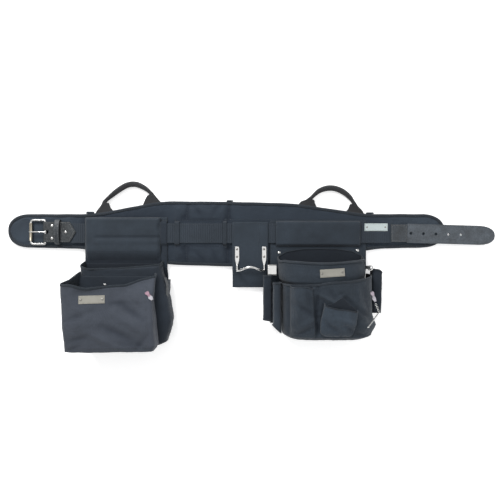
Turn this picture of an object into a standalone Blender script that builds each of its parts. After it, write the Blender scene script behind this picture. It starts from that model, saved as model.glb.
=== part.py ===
"""Carpenter's tool belt, lying on its back, in metres.

+X runs along the belt towards the tongue, +Y towards the belt's upper edge, and +Z out from the wearer.
The origin is the centre of the back support, on the webbing's centre line, where the lining rests.
"""

import math

import bmesh
import bpy
from mathutils import Matrix, Vector

GAP = 0.0004
WALL = 0.0018

# back support
PAD_END_TOP = 0.050
PAD_END_BOTTOM = -0.037
PAD_END_REACH = 0.058
PAD_TOP_CORNERS = [(-0.514, 0.050), (-0.351, 0.050), (-0.177, 0.083), (0.0, 0.0820), (0.140, 0.0785),
                   (0.180, 0.0755), (0.351, 0.050), (0.491, 0.050)]
PAD_BOTTOM_CORNERS = [(0.505, -0.037), (0.377, -0.040), (0.161, -0.081), (0.0, -0.086), (-0.161, -0.081),
                      (-0.377, -0.040), (-0.514, -0.037)]
PAD_BINDING_WIDTH = 0.008
LINING_TOP = 0.0017
CORE_TOP = 0.0100
PAD_TOP = 0.0120

# webbing and the layers that slide on it
WEB_HALF = 0.0254
WEB_BOTTOM = 0.0148
WEB_TOP = 0.0183
WEB_LEFT = -0.464
WEB_RIGHT = 0.416
BACK_BOTTOM = PAD_TOP + GAP
BACK_TOP = BACK_BOTTOM + WALL
TUNNEL_UNDER = 0.0196
TUNNEL_TOP = TUNNEL_UNDER + WALL
DROP_START = -0.090
DROP_END = -0.112
DROP_STEPS = (DROP_START, -0.095, -0.101, -0.107, DROP_END)

# buckle end
END_RISE = 0.003
BAR_X = -0.472
BAR_Z = 0.0180
WIRE = 0.00275
ROLLER_X = -0.5085
FRAME_HALF = 0.03025
FRAME_CORNER = 0.00725
HEEL_CORNER = 0.0038
BORE = 0.0031
ROLLER_OUTER = 0.0042
ROLLER_HALF = 0.0228
PRONG_WIRE = 0.0013
CHAPE_HALF = 0.026
CHAPE_TIP = -0.393
CHAPE_SHOULDER = -0.409
KEEPER_X = (-0.446, -0.433)

# tongue end
TONGUE_ROOT = 0.4540
TONGUE_TIP = 0.679
TONGUE_HALF = 0.0245
TONGUE_DROOP = -0.030
HOLE_RADIUS = 0.0032
HOLE_FIRST = 0.0100
HOLE_PITCH = 0.032
HOLE_COUNT = 5
PATCH_X = (0.412, 0.4530)

# handles
HANDLE_Z = 0.0074
GRIP = 0.0070
LEFT_FEET = (-0.3240, -0.2020)
RIGHT_FEET = (0.2010, 0.3230)
LEFT_GRIP = [(-0.3214, 0.0836), (-0.3033, 0.0996), (-0.2852, 0.1133), (-0.2632, 0.1252), (-0.2413, 0.1263),
             (-0.2204, 0.1172), (-0.2051, 0.1048)]
RIGHT_GRIP = [(0.2109, 0.0921), (0.2298, 0.1090), (0.2510, 0.1164), (0.2716, 0.1159), (0.2923, 0.1074),
              (0.3083, 0.0945), (0.3190, 0.0800)]

# pouches
LEFT_BACK = (-0.371, -0.160)
LEFT_TUNNEL = (-0.370, -0.177)
HAMMER_X = (0.007, 0.098)
RIGHT_BACK = (0.104, 0.350)
RIGHT_TUNNEL = (0.118, 0.334)
FRONT_BACK = BACK_TOP + GAP - BACK_BOTTOM
FRONT_SQUARE = 0.70
FRONT_SWELL = 0.5
# the right pouch's front pocket, each row: y, left edge, right edge, height
FRONT_ROWS = [(-0.259, 0.142, 0.338, 0.102), (-0.250, 0.132, 0.354, 0.112), (-0.226, 0.129, 0.364, 0.117),
              (-0.216, 0.129, 0.3605, 0.118), (-0.200, 0.129, 0.3550, 0.118), (-0.150, 0.129, 0.3545, 0.119),
              (-0.1215, 0.129, 0.3535, 0.119)]
TOGGLE_TOP = (0.3638, -0.1957, 0.0850)
TOGGLE_FOOT = (0.3290, -0.2263, 0.1095)
CHAIN_TOP = (0.3535, -0.1725, 0.0885)

COLOURS = {
    "cloth": ((0.034, 0.045, 0.061), 0.85, 0.0),
    "pale_cloth": ((0.074, 0.085, 0.107), 0.8, 0.0),
    "webbing": ((0.040, 0.052, 0.068), 0.75, 0.0),
    "handle_web": ((0.045, 0.045, 0.048), 0.75, 0.0),
    "leather": ((0.050, 0.056, 0.058), 0.45, 0.0),
    "steel": ((0.80, 0.80, 0.80), 0.18, 1.0),
    "roller": ((0.83, 0.78, 0.66), 0.30, 1.0),
    "plate": ((0.80, 0.76, 0.68), 0.30, 1.0),
    "label": ((0.75, 0.82, 0.84), 0.60, 0.0),
    "tag": ((0.80, 0.74, 0.76), 0.75, 0.0),
    "foam": ((0.08, 0.08, 0.08), 0.90, 0.0),
}

belt_parts = bpy.data.collections.new("tool_belt")
cutters = bpy.data.collections.new("cutters")


def clear_scene():
    for obj in list(bpy.data.objects):
        bpy.data.objects.remove(obj, do_unlink=True)
    for collection in (belt_parts, cutters):
        bpy.context.scene.collection.children.link(collection)


def material(name, look):
    colour, roughness, metallic = COLOURS[look]
    made = bpy.data.materials.new(name)
    made.use_nodes = True
    shader = made.node_tree.nodes["Principled BSDF"]
    shader.inputs["Base Color"].default_value = (*colour, 1.0)
    shader.inputs["Roughness"].default_value = roughness
    shader.inputs["Metallic"].default_value = metallic
    made.diffuse_color = (*colour, 1.0)
    return made


def place(name, data, look, body):
    """Link one named sub-part, with its own material, under its body's empty."""
    obj = bpy.data.objects.new(name, data)
    belt_parts.objects.link(obj)
    data.materials.clear()
    data.materials.append(material(name, look))
    if body is not None:
        obj.parent = body
        obj.matrix_parent_inverse = Matrix.Translation(body.location).inverted()
    return obj


def pivot(name, location):
    """An empty on a joint's axis that carries the pieces of one moving body."""
    empty = bpy.data.objects.new(name, None)
    empty.location = location
    belt_parts.objects.link(empty)
    return empty


def mesh_from(name, shape):
    data = bpy.data.meshes.new(name)
    shape.to_mesh(data)
    shape.free()
    return data


def bevel(obj, width, segments=1, angle=40):
    modifier = obj.modifiers.new("round", "BEVEL")
    modifier.width = width
    modifier.segments = segments
    modifier.limit_method = "ANGLE"
    modifier.angle_limit = math.radians(angle)
    return obj


def box(name, low, high, look, body=None, rounding=0.0):
    """A closed box between two corners."""
    shape = bmesh.new()
    bmesh.ops.create_cube(shape, size=1.0)
    low, high = Vector(low), Vector(high)
    bmesh.ops.scale(shape, vec=high - low, verts=shape.verts)
    bmesh.ops.translate(shape, vec=(low + high) / 2, verts=shape.verts)
    obj = place(name, mesh_from(name, shape), look, body)
    return bevel(obj, rounding) if rounding else obj


def open_box(name, low, high, look, body=None, both_ends=False):
    """A thin-walled box open towards +Y, or towards both +Y and -Y."""
    shape = bmesh.new()
    bmesh.ops.create_cube(shape, size=1.0)
    ends = [face for face in shape.faces if face.normal.y > 0.5 or (both_ends and face.normal.y < -0.5)]
    bmesh.ops.delete(shape, geom=ends, context="FACES_ONLY")
    low, high = Vector(low), Vector(high)
    bmesh.ops.scale(shape, vec=high - low, verts=shape.verts)
    bmesh.ops.translate(shape, vec=(low + high) / 2, verts=shape.verts)
    obj = place(name, mesh_from(name, shape), look, body)
    return thicken(obj)


def thicken(obj, thickness=WALL):
    modifier = obj.modifiers.new("wall", "SOLIDIFY")
    modifier.thickness = thickness
    modifier.offset = -1.0
    modifier.use_even_offset = True
    return obj


def flat_curve(name, outlines, depth):
    """A 2D curve of straight-sided outlines, filled and extruded by depth about its plane."""
    data = bpy.data.curves.new(name, "CURVE")
    data.dimensions = "2D"
    data.fill_mode = "BOTH"
    data.extrude = depth / 2
    for outline in outlines:
        spline = data.splines.new("POLY")
        spline.points.add(len(outline) - 1)
        for point, (u, v) in zip(spline.points, outline):
            point.co = (u, v, 0.0, 1.0)
        spline.use_cyclic_u = True
    return data


def plate(name, outlines, z_low, z_high, look, body=None):
    """Outlines in X and Y, between two heights."""
    obj = place(name, flat_curve(name, outlines, z_high - z_low), look, body)
    obj.location.z = (z_low + z_high) / 2
    return obj


def profile_along_x(name, outlines, x_low, x_high, look, body=None):
    """Outlines in Y and Z, run along X."""
    obj = place(name, flat_curve(name, outlines, x_high - x_low), look, body)
    turn = Matrix(((0, 0, 1), (1, 0, 0), (0, 1, 0))).to_4x4()
    obj.matrix_basis = Matrix.Translation(((x_low + x_high) / 2, 0.0, 0.0)) @ turn
    return obj


def profile_along_y(name, outlines, y_low, y_high, look, body=None):
    """Outlines in X and Z, run along Y."""
    obj = place(name, flat_curve(name, outlines, y_high - y_low), look, body)
    turn = Matrix(((1, 0, 0), (0, 0, -1), (0, 1, 0))).to_4x4()
    obj.matrix_basis = Matrix.Translation((0.0, (y_low + y_high) / 2, 0.0)) @ turn
    return obj


def wire(name, points, radius, look, body=None, cyclic=False):
    """A round wire along points."""
    data = bpy.data.curves.new(name, "CURVE")
    data.dimensions = "3D"
    data.bevel_depth = radius
    data.bevel_resolution = 2
    data.use_fill_caps = not cyclic
    spline = data.splines.new("POLY")
    spline.points.add(len(points) - 1)
    for point, place_at in zip(spline.points, points):
        point.co = (*place_at, 1.0)
    spline.use_cyclic_u = cyclic
    return place(name, data, look, body)


def as_mesh(obj):
    """Swap a curve object for a mesh object of the same shape, with its caps welded."""
    graph = bpy.context.evaluated_depsgraph_get()
    data = bpy.data.meshes.new_from_object(obj.evaluated_get(graph))
    shape = bmesh.new()
    shape.from_mesh(data)
    bmesh.ops.remove_doubles(shape, verts=shape.verts, dist=1e-6)
    shape.to_mesh(data)
    shape.free()
    name, body, basis, inverse = obj.name, obj.parent, obj.matrix_basis.copy(), obj.matrix_parent_inverse.copy()
    made = obj.data.materials[0]
    bpy.data.objects.remove(obj, do_unlink=True)
    swapped = bpy.data.objects.new(name, data)
    belt_parts.objects.link(swapped)
    data.materials.clear()
    data.materials.append(made)
    swapped.parent = body
    swapped.matrix_parent_inverse = inverse
    swapped.matrix_basis = basis
    return swapped


def cut(obj, tool, operation="DIFFERENCE"):
    """Cut or join obj with a helper object, which stays hidden with the cutters."""
    belt_parts.objects.unlink(tool)
    cutters.objects.link(tool)
    tool.hide_render = True
    tool.display_type = "WIRE"
    modifier = obj.modifiers.new(tool.name, "BOOLEAN")
    modifier.object = tool
    modifier.operation = operation
    modifier.solver = "EXACT"
    return obj


def turned(name, profile, centre, look, body=None, axis="Z", steps=12):
    """A profile of (radius, height) pairs turned about an axis through centre."""
    shape = bmesh.new()
    corners = [shape.verts.new((radius, 0.0, height)) for radius, height in profile]
    for first, second in zip(corners, corners[1:]):
        shape.edges.new((first, second))
    if profile[0][0] > 0:
        shape.edges.new((corners[-1], corners[0]))
    obj = place(name, mesh_from(name, shape), look, body)
    screw = obj.modifiers.new("turn", "SCREW")
    screw.steps = steps
    screw.render_steps = steps
    screw.use_merge_vertices = True
    screw.merge_threshold = 0.00005
    obj.location = centre
    if axis == "Y":
        obj.rotation_euler.x = math.radians(-90)
    return obj


def rivet(name, centre, radius, body, look="steel"):
    """A low domed rivet head standing on a surface."""
    x, y, z = centre
    height = radius * 0.45
    profile = [(0.0, height), (radius * 0.6, height * 0.85), (radius, height * 0.3), (radius, 0.0), (0.0, 0.0)]
    return turned(name, profile, (x, y, z), look, body)


def signed_power(value, power):
    return math.copysign(abs(value) ** power, value)


def smooth(low, high, value):
    t = min(max((value - low) / (high - low), 0.0), 1.0)
    return t * t * (3 - 2 * t)


def drop(y):
    """How far the hanging layers have sunk from the support's surface to the surface below it."""
    return -BACK_BOTTOM * smooth(-DROP_START, -DROP_END, -y)


def inset(outline, distance):
    """A clockwise outline moved inwards."""
    moved = []
    count = len(outline)
    for index, (x, y) in enumerate(outline):
        before = Vector(outline[index - 1])
        here = Vector((x, y))
        after = Vector(outline[(index + 1) % count])
        first = (here - before).normalized()
        second = (after - here).normalized()
        normal = Vector((first.y + second.y, -first.x - second.x))
        normal /= normal.length
        reach = distance / max(normal.dot(Vector((first.y, -first.x))), 0.5)
        moved.append(tuple(here + normal * reach))
    return moved


def pad_outline():
    """The back support's edge, clockwise from the upper left."""
    middle = (PAD_END_TOP + PAD_END_BOTTOM) / 2
    half = (PAD_END_TOP - PAD_END_BOTTOM) / 2
    angles = [math.radians(90 - 18 * step) for step in range(1, 10)]
    ends = [(PAD_END_REACH * signed_power(math.cos(a), 0.9), half * signed_power(math.sin(a), 0.9)) for a in angles]
    right, left = PAD_TOP_CORNERS[-1][0], PAD_TOP_CORNERS[0][0]
    right_end = [(right + x, middle + y) for x, y in ends]
    left_end = [(left - x, middle + y) for x, y in reversed(ends)]
    return PAD_TOP_CORNERS + right_end + PAD_BOTTOM_CORNERS + left_end


def pad_top_edge(x):
    """The height of the support's upper edge at x, in the plane of the belt."""
    for (x_low, y_low), (x_high, y_high) in zip(PAD_TOP_CORNERS, PAD_TOP_CORNERS[1:]):
        if x <= x_high:
            break
    return y_low + (y_high - y_low) * (x - x_low) / (x_high - x_low)


def make_back_support():
    edge = pad_outline()
    inner = inset(edge, PAD_BINDING_WIDTH)
    filling = inset(edge, PAD_BINDING_WIDTH + GAP)
    binding = as_mesh(plate("pad_binding", [edge, inner], 0.0, PAD_TOP, "webbing"))
    bevel(binding, 0.0022)
    plate("pad_lining", [filling], 0.0, LINING_TOP, "cloth")
    plate("pad_core", [filling], LINING_TOP + GAP, CORE_TOP, "foam")
    plate("pad_front_cover", [filling], CORE_TOP + GAP, PAD_TOP, "cloth")


def bridge(y_half, z_low, z_under, thickness):
    """A strap's outline over the webbing, in Y and Z, open underneath."""
    outer = y_half + thickness
    return [(-outer, z_low), (-outer, z_under + thickness), (outer, z_under + thickness), (outer, z_low),
            (y_half, z_low), (y_half, z_under), (-y_half, z_under), (-y_half, z_low)]


def make_webbing():
    box("waist_webbing", (WEB_LEFT, -WEB_HALF, WEB_BOTTOM), (WEB_RIGHT, WEB_HALF, WEB_TOP), "webbing")
    loop = bridge(WEB_HALF + 0.003, BACK_BOTTOM + 0.0002, WEB_TOP + 0.0008, 0.0016)
    for name, x_low, x_high in (("belt_loop_left", -0.141, -0.129), ("belt_loop_centre", -0.018, -0.008)):
        profile_along_x(name, [loop], x_low, x_high, "webbing")
    label_y = (0.0055, 0.0250)
    box("blank_label", (0.345, label_y[0], WEB_TOP + GAP), (0.404, label_y[1], WEB_TOP + GAP + 0.0006), "label",
        rounding=0.0002)


def make_suspender_tabs():
    """Short lengths of webbing folded over, proud of the upper edge."""
    for name, x, width, proud in (("suspender_tab_left", -0.3610, 0.018, 0.0055),
                                  ("suspender_tab_centre", 0.0, 0.016, 0.0030),
                                  ("suspender_tab_right", 0.3620, 0.018, 0.0035)):
        edge = pad_top_edge(x) + GAP + 0.0003
        tip = edge + proud
        low, high, nose = 0.0015, 0.0105, 0.0025
        fold = [(edge, low), (tip - nose / 2, low), (tip, low + nose), (tip, high - nose), (tip - nose / 2, high),
                (edge, high)]
        profile_along_x(name, [fold], x - width / 2, x + width / 2, "webbing")


def arc(centre, radius, start, end, steps):
    """Points of a circular arc, with angles in degrees."""
    u, v = centre
    turn = (end - start) / steps
    angles = [math.radians(start + turn * step) for step in range(steps + 1)]
    return [(u + radius * math.cos(a), v + radius * math.sin(a)) for a in angles]


def make_chape():
    """Leather folded round the buckle's heel bar: a short layer below, a pointed layer above."""
    bar = (BAR_X, BAR_Z)
    fold_outer = BORE + 0.0020
    upper_low = WEB_TOP + GAP
    upper_high = upper_low + 0.0025
    lower_high = WEB_BOTTOM - GAP
    outside = arc(bar, fold_outer, 50, 292, 12)
    inside = arc(bar, BORE, 300, 42, 12)
    outline = outside + [(BAR_X + 0.006, BACK_BOTTOM), (-0.449, BACK_BOTTOM), (-0.449, lower_high),
                         (BAR_X + 0.0055, lower_high)]
    outline += inside + [(BAR_X + 0.0055, upper_low), (CHAPE_TIP, upper_low), (CHAPE_TIP, upper_high),
                         (BAR_X + 0.0075, upper_high)]
    y_low, y_high = END_RISE - CHAPE_HALF, END_RISE + CHAPE_HALF
    chape = as_mesh(profile_along_y("buckle_chape", [outline], y_low, y_high, "leather"))
    reach = CHAPE_HALF + 0.001
    left = BAR_X - 0.010
    point = [(left, END_RISE - reach), (left, END_RISE + reach), (CHAPE_SHOULDER, END_RISE + reach),
             (CHAPE_TIP, END_RISE), (CHAPE_SHOULDER, END_RISE - reach)]
    slot_half = 0.0042
    slot = [(left + 0.001, END_RISE - slot_half), (left + 0.001, END_RISE + slot_half),
            (BAR_X + 0.010, END_RISE + slot_half), (BAR_X + 0.010, END_RISE - slot_half)]
    keep = as_mesh(plate("chape_outline", [point, slot], 0.0, 0.040, "leather"))
    cut(chape, keep, "INTERSECT")
    top = upper_high + GAP
    rivet("chape_rivet_upper", (-0.4535, END_RISE + 0.016, top), 0.0035, None)
    rivet("chape_rivet_lower", (-0.4535, END_RISE - 0.016, top), 0.0035, None)
    rivet("chape_tip_rivet", (-0.4190, END_RISE, top), 0.0033, None)


def make_buckle():
    swing = pivot("buckle_body", (BAR_X, END_RISE, BAR_Z))
    left, right = ROLLER_X, BAR_X
    corner, heel = FRAME_CORNER, HEEL_CORNER
    corners = [(left + corner, FRAME_HALF - corner, corner, 180), (right - heel, FRAME_HALF - heel, heel, 90),
               (right - heel, heel - FRAME_HALF, heel, 0), (left + corner, corner - FRAME_HALF, corner, -90)]
    path = []
    for x, y, radius, start in corners:
        path += arc((x, y), radius, start, start - 90, 4)
    wire("buckle_frame", [(x, END_RISE + y, BAR_Z) for x, y in path], WIRE, "steel", swing, cyclic=True)

    spin = pivot("roller_body", (ROLLER_X, END_RISE, BAR_Z))
    tube = [(ROLLER_OUTER, ROLLER_HALF), (ROLLER_OUTER, -ROLLER_HALF), (BORE, -ROLLER_HALF), (BORE, ROLLER_HALF)]
    turned("buckle_roller", tube, (ROLLER_X, END_RISE, BAR_Z), "roller", spin, axis="Y", steps=20)

    tongue = pivot("prong_body", (BAR_X, END_RISE, BAR_Z))
    eye_radius = BORE + PRONG_WIRE
    eye = arc((BAR_X, BAR_Z), eye_radius, -200, 100, 12)
    rest_z = BAR_Z + ROLLER_OUTER + PRONG_WIRE + GAP
    tip = [(BAR_X - 0.010, rest_z + 0.0005), (BAR_X - 0.024, rest_z + 0.0003), (ROLLER_X, rest_z),
           (ROLLER_X - 0.004, rest_z - 0.0008)]
    wire("buckle_prong", [(x, END_RISE, z) for x, z in eye + tip], PRONG_WIRE, "steel", tongue)


def make_keeper():
    slide = pivot("keeper_body", (sum(KEEPER_X) / 2, END_RISE, WEB_TOP))
    half, low = 0.0315, BACK_BOTTOM
    rise, crown = 0.0205, 0.0300
    arch = [(half * math.cos(math.radians(a)), rise + (crown - rise) * math.sin(math.radians(a)))
            for a in range(0, 181, 18)]
    outer = [(-half + 0.001, low), (-half, low + 0.002)] + arch[::-1] + [(half, low + 0.002), (half - 0.001, low)]
    thin = 0.0020
    shrink = (half - thin) / half
    hollow = [(y * shrink, rise + (z - rise) * (crown - rise - thin) / (crown - rise)) for y, z in arch]
    inner = [(-half + thin, low + thin)] + hollow[::-1] + [(half - thin, low + thin)]
    rings = [[(y + END_RISE, z) for y, z in ring] for ring in (outer, inner)]
    profile_along_x("keeper_loop", rings, *KEEPER_X, "leather", slide)


def make_tongue():
    lift = pivot("tongue_body", (TONGUE_ROOT, 0.0, (WEB_BOTTOM + WEB_TOP) / 2))
    taper = 0.039
    shoulder = TONGUE_TIP - TONGUE_ROOT - taper
    tip = [(shoulder + taper * math.sin(math.radians(a)), TONGUE_HALF * signed_power(math.cos(math.radians(a)), 0.85))
           for a in range(0, 181, 18)]
    strap = [(0.0, -TONGUE_HALF), (0.0, TONGUE_HALF)] + tip
    holes = [arc((HOLE_FIRST + HOLE_PITCH * step, 0.0), HOLE_RADIUS, 0, 330, 11)
             for step in range(HOLE_COUNT)]
    strap_obj = plate("tongue_strap", [strap] + holes, WEB_BOTTOM, WEB_TOP - 0.0003, "leather", lift)
    middle = (WEB_BOTTOM + WEB_TOP - 0.0003) / 2
    strap_obj.matrix_basis = Matrix.Translation((TONGUE_ROOT, 0, middle)) @ Matrix.Rotation(TONGUE_DROOP, 4, "Z")
    patch = box("tongue_anchor_patch", (PATCH_X[0], -0.0225, WEB_TOP + GAP), (PATCH_X[1], 0.0225, 0.0212),
                "leather")
    bevel(patch, 0.0008)


def sweep(name, stations, look, body):
    """A closed solid through stations of (centre, side direction, half width, half height, squareness)."""
    shape = bmesh.new()
    rings = []
    for centre, side, half_width, half_height, square in stations:
        ring = []
        for step in range(12):
            angle = 2 * math.pi * (step + 0.5) / 12
            across = half_width * signed_power(math.cos(angle), square)
            up = half_height * signed_power(math.sin(angle), square)
            ring.append(shape.verts.new(Vector(centre) + Vector(side) * across + Vector((0, 0, up))))
        rings.append(ring)
    for first, second in zip(rings, rings[1:]):
        for index in range(12):
            after = (index + 1) % 12
            shape.faces.new((first[index], second[index], second[after], first[after]))
    shape.faces.new(rings[0])
    shape.faces.new(reversed(rings[-1]))
    bmesh.ops.recalc_face_normals(shape, faces=shape.faces)
    return place(name, mesh_from(name, shape), look, body)


def make_handle(name, feet, grip):
    """Webbing folded into a round grip, with a flat foot at each end sewn to the support's upper edge."""
    slope = (pad_top_edge(feet[1]) - pad_top_edge(feet[0])) / (feet[1] - feet[0])
    along = Vector((1.0, slope, 0.0)).normalized()
    out = Vector((-along.y, along.x, 0.0))
    clearance = 0.0035
    roots = [Vector((x, pad_top_edge(x), HANDLE_Z)) + out * clearance for x in feet]
    fold = pivot(name + "_body", tuple((roots[0] + roots[1]) / 2))
    route = [Vector((x, y, HANDLE_Z)) for x, y in grip]
    start_side = -along
    stations = [(roots[0], start_side, 0.0245, 0.0016, 0.3), (roots[0] + out * 0.009, start_side, 0.0180, 0.0020, 0.4),
                (roots[0].lerp(route[0], 0.75), start_side, 0.0100, 0.0050, 0.8)]
    for index, point in enumerate(route):
        before = route[max(index - 1, 0)]
        after = route[min(index + 1, len(route) - 1)]
        run = (after - before).normalized()
        stations.append((point, Vector((-run.y, run.x, 0.0)), GRIP, GRIP, 1.0))
    stations += [(roots[1].lerp(route[-1], 0.75), along, 0.0100, 0.0050, 0.8),
                 (roots[1] + out * 0.009, along, 0.0180, 0.0020, 0.4), (roots[1], along, 0.0245, 0.0016, 0.3)]
    sweep(name, stations, "handle_web", fold)


def hanging_panel(name, y_top, y_bottom, x_low, x_high, body, base=BACK_BOTTOM, look="cloth", floor=0.0):
    """A flat layer over the support that sinks to the surface below beyond the support's edge."""
    heights = [y_top, *DROP_STEPS, y_bottom]
    sink = [(base - floor) / BACK_BOTTOM * drop(y) for y in heights]
    upper = [(y, base + s + WALL) for y, s in zip(heights, sink)]
    lower = [(y, base + s) for y, s in zip(heights, sink)]
    return profile_along_x(name, [upper + lower[::-1]], x_low, x_high, look, body)


def tunnel_panel(name, y_top, y_bottom, x_low, x_high, body, look="cloth"):
    """The layer in front of the webbing, turned down at both edges to meet the back panel."""
    leg, foot = 0.002, BACK_TOP + GAP
    outline = [(y_bottom, foot), (y_bottom, TUNNEL_TOP - 0.0015), (y_bottom + 0.0015, TUNNEL_TOP),
               (y_top - 0.0015, TUNNEL_TOP), (y_top, TUNNEL_TOP - 0.0015), (y_top, foot), (y_top - leg, foot),
               (y_top - leg, TUNNEL_UNDER), (y_bottom + leg, TUNNEL_UNDER), (y_bottom + leg, foot)]
    return profile_along_x(name, [outline], x_low, x_high, look, body)


def pouch_ring(y_back, y_front, x_low, x_high, z_back, rise_low, rise_high, square, swell, lean=0.0, bow=1.0):
    """One section of a pouch: a flat back, and a front that rises from rise_low to rise_high across it.

    The front's left side leans out by lean, and a small bow keeps the whole front at y_front.
    """
    front_steps, back_steps = 14, 5
    centre, half = (x_low + x_high) / 2, (x_high - x_low) / 2
    tallest = max(rise_low, rise_high)
    ring = []
    for step in range(front_steps + 1):
        angle = math.pi * step / front_steps
        x = centre - half * signed_power(math.cos(angle), square)
        share = (x - x_low) / (x_high - x_low)
        rise = (rise_low + (rise_high - rise_low) * smooth(0.1, 0.9, share)) * abs(math.sin(angle)) ** swell
        raised = min(rise / tallest, 1.0)
        ring.append((x + lean * (1 - share) * raised, y_back + (y_front - y_back) * raised ** bow, z_back + rise))
    for step in range(1, back_steps):
        share = step / back_steps
        ring.append((x_high + (x_low - x_high) * share, y_back, z_back))
    return ring


def pouch(name, rings, look, body):
    """A thin-walled bag through its rings, closed at the first and open at the last."""
    shape = bmesh.new()
    loops = [[shape.verts.new(point) for point in ring] for ring in rings]
    count = len(loops[0])
    for first, second in zip(loops, loops[1:]):
        for index in range(count):
            after = (index + 1) % count
            shape.faces.new((first[index], first[after], second[after], second[index]))
    shape.faces.new(reversed(loops[0]))
    return thicken(place(name, mesh_from(name, shape), look, body))


def pouch_back(y):
    """The height of a pouch's own back wall, just clear of its back panel."""
    return BACK_TOP + GAP + drop(y)


def seat(centre, tilt, normal):
    """The place of something that lies on a slope, turned by tilt degrees about the slope's normal."""
    lean = Vector((0.0, 0.0, 1.0)).rotation_difference(Vector(normal)).to_matrix().to_4x4()
    return Matrix.Translation(centre) @ lean @ Matrix.Rotation(math.radians(tilt), 4, "Z")


def oblong(half_length, half_width):
    return [(-half_length, -half_width), (-half_length, half_width), (half_length, half_width),
            (half_length, -half_width)]


def name_plate(name, prefix, centre, tilt, body, normal=(0.0, 0.0, 1.0)):
    """A blank metal plate with a rivet near each end."""
    thickness = 0.0010
    spot = seat(centre, tilt, normal)
    made = plate(name, [oblong(0.029, 0.0095)], 0.0, thickness, "plate", body)
    made.matrix_basis = spot @ Matrix.Translation((0.0, 0.0, thickness / 2))
    for number, offset in ((1, -0.0240), (2, 0.0240)):
        head = rivet(f"{prefix}_{number}", (0.0, 0.0, 0.0), 0.0022, body, "plate")
        head.matrix_basis = spot @ Matrix.Translation((offset, 0.0, thickness + GAP))


def woven_tag(name, centre, tilt, body, normal):
    """A small folded woven label."""
    thickness = 0.0009
    made = plate(name, [oblong(0.0130, 0.0050)], 0.0, thickness, "tag", body)
    made.matrix_basis = seat(centre, tilt, normal) @ Matrix.Translation((0.0, 0.0, thickness / 2))


def make_left_pouch():
    body = pivot("left_pouch_body", (-0.268, 0.0, WEB_TOP))
    hanging_panel("left_back_panel", 0.0415, -0.276, *LEFT_BACK, body)
    tunnel_panel("left_tunnel_panel", 0.0410, -0.0780, *LEFT_TUNNEL, body)
    rear_front = 0.0600
    # each row: y, left edge, right edge
    sections = [(-0.275, -0.377, -0.158), (-0.262, -0.378, -0.151), (-0.216, -0.377, -0.146),
                (-0.166, -0.375, -0.163)]
    sections += [(y, -0.3705, -0.170) for y in reversed(DROP_STEPS)]
    rings = []
    for y, x_low, x_high in sections:
        back = pouch_back(y)
        rings.append(pouch_ring(y, y, x_low, x_high, back, rear_front - back, rear_front - back - 0.004, 0.25, 0.2))
    back = pouch_back(0.0)
    rings.append(pouch_ring(-0.0795, -0.0893, -0.3705, -0.171, back, rear_front - back, 0.036, 0.25, 0.2))
    pouch("left_rear_pouch", rings, "cloth", body)

    base = rear_front + GAP
    # each row: y back, y front, left edge, right edge, rise at the left, rise at the right, lean
    sections = [(-0.284, -0.284, -0.386, -0.178, 0.048, 0.044, 0.0), (-0.272, -0.272, -0.387, -0.173, 0.058, 0.050, 0.0),
                (-0.215, -0.215, -0.386, -0.178, 0.066, 0.044, -0.004),
                (-0.165, -0.165, -0.378, -0.184, 0.068, 0.030, -0.015),
                (-0.108, -0.136, -0.366, -0.180, 0.069, 0.008, -0.029)]
    rings = [pouch_ring(y_back, y_front, low, high, base, rise_low, rise_high, 0.2, 0.16, lean, 0.55)
             for y_back, y_front, low, high, rise_low, rise_high, lean in sections]
    pouch("left_front_pouch", rings, "pale_cloth", body)
    open_box("left_side_pocket", (-0.1618, -0.162, 0.012), (-0.1525, -0.119, 0.044), "webbing", body)
    name_plate("left_name_plate", "left_plate_rivet", (-0.318, -0.159, 0.1166), 1.5, body, (0.245, 0.180, 1.0))
    rivet("left_pouch_rivet", (-0.305, -0.1290, rear_front + GAP + WALL + GAP), 0.0030, body)
    woven_tag("left_woven_tag", (-0.1905, -0.154, 0.0851), -52, body, (0.12, 0.44, 1.0))


def make_hammer_holder():
    body = pivot("hammer_body", (0.0525, 0.0, WEB_TOP))
    x_low, x_high = HAMMER_X
    top, back_end = 0.0280, -0.0310
    base = BACK_BOTTOM
    strap = [(back_end, base), (top, base), (top, TUNNEL_UNDER - GAP), (top - 0.002, TUNNEL_UNDER - GAP),
             (top - 0.002, BACK_TOP), (back_end + 0.002, BACK_TOP), (back_end + 0.002, TUNNEL_UNDER - GAP),
             (back_end, TUNNEL_UNDER - GAP)]
    profile_along_x("hammer_tunnel", [strap], x_low + 0.001, x_high - 0.001, "cloth", body)
    hanging_panel("hammer_plate", top, -0.139, x_low, x_high, body, base=TUNNEL_UNDER, floor=0.004)
    make_hammer_loop(body)


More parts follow.
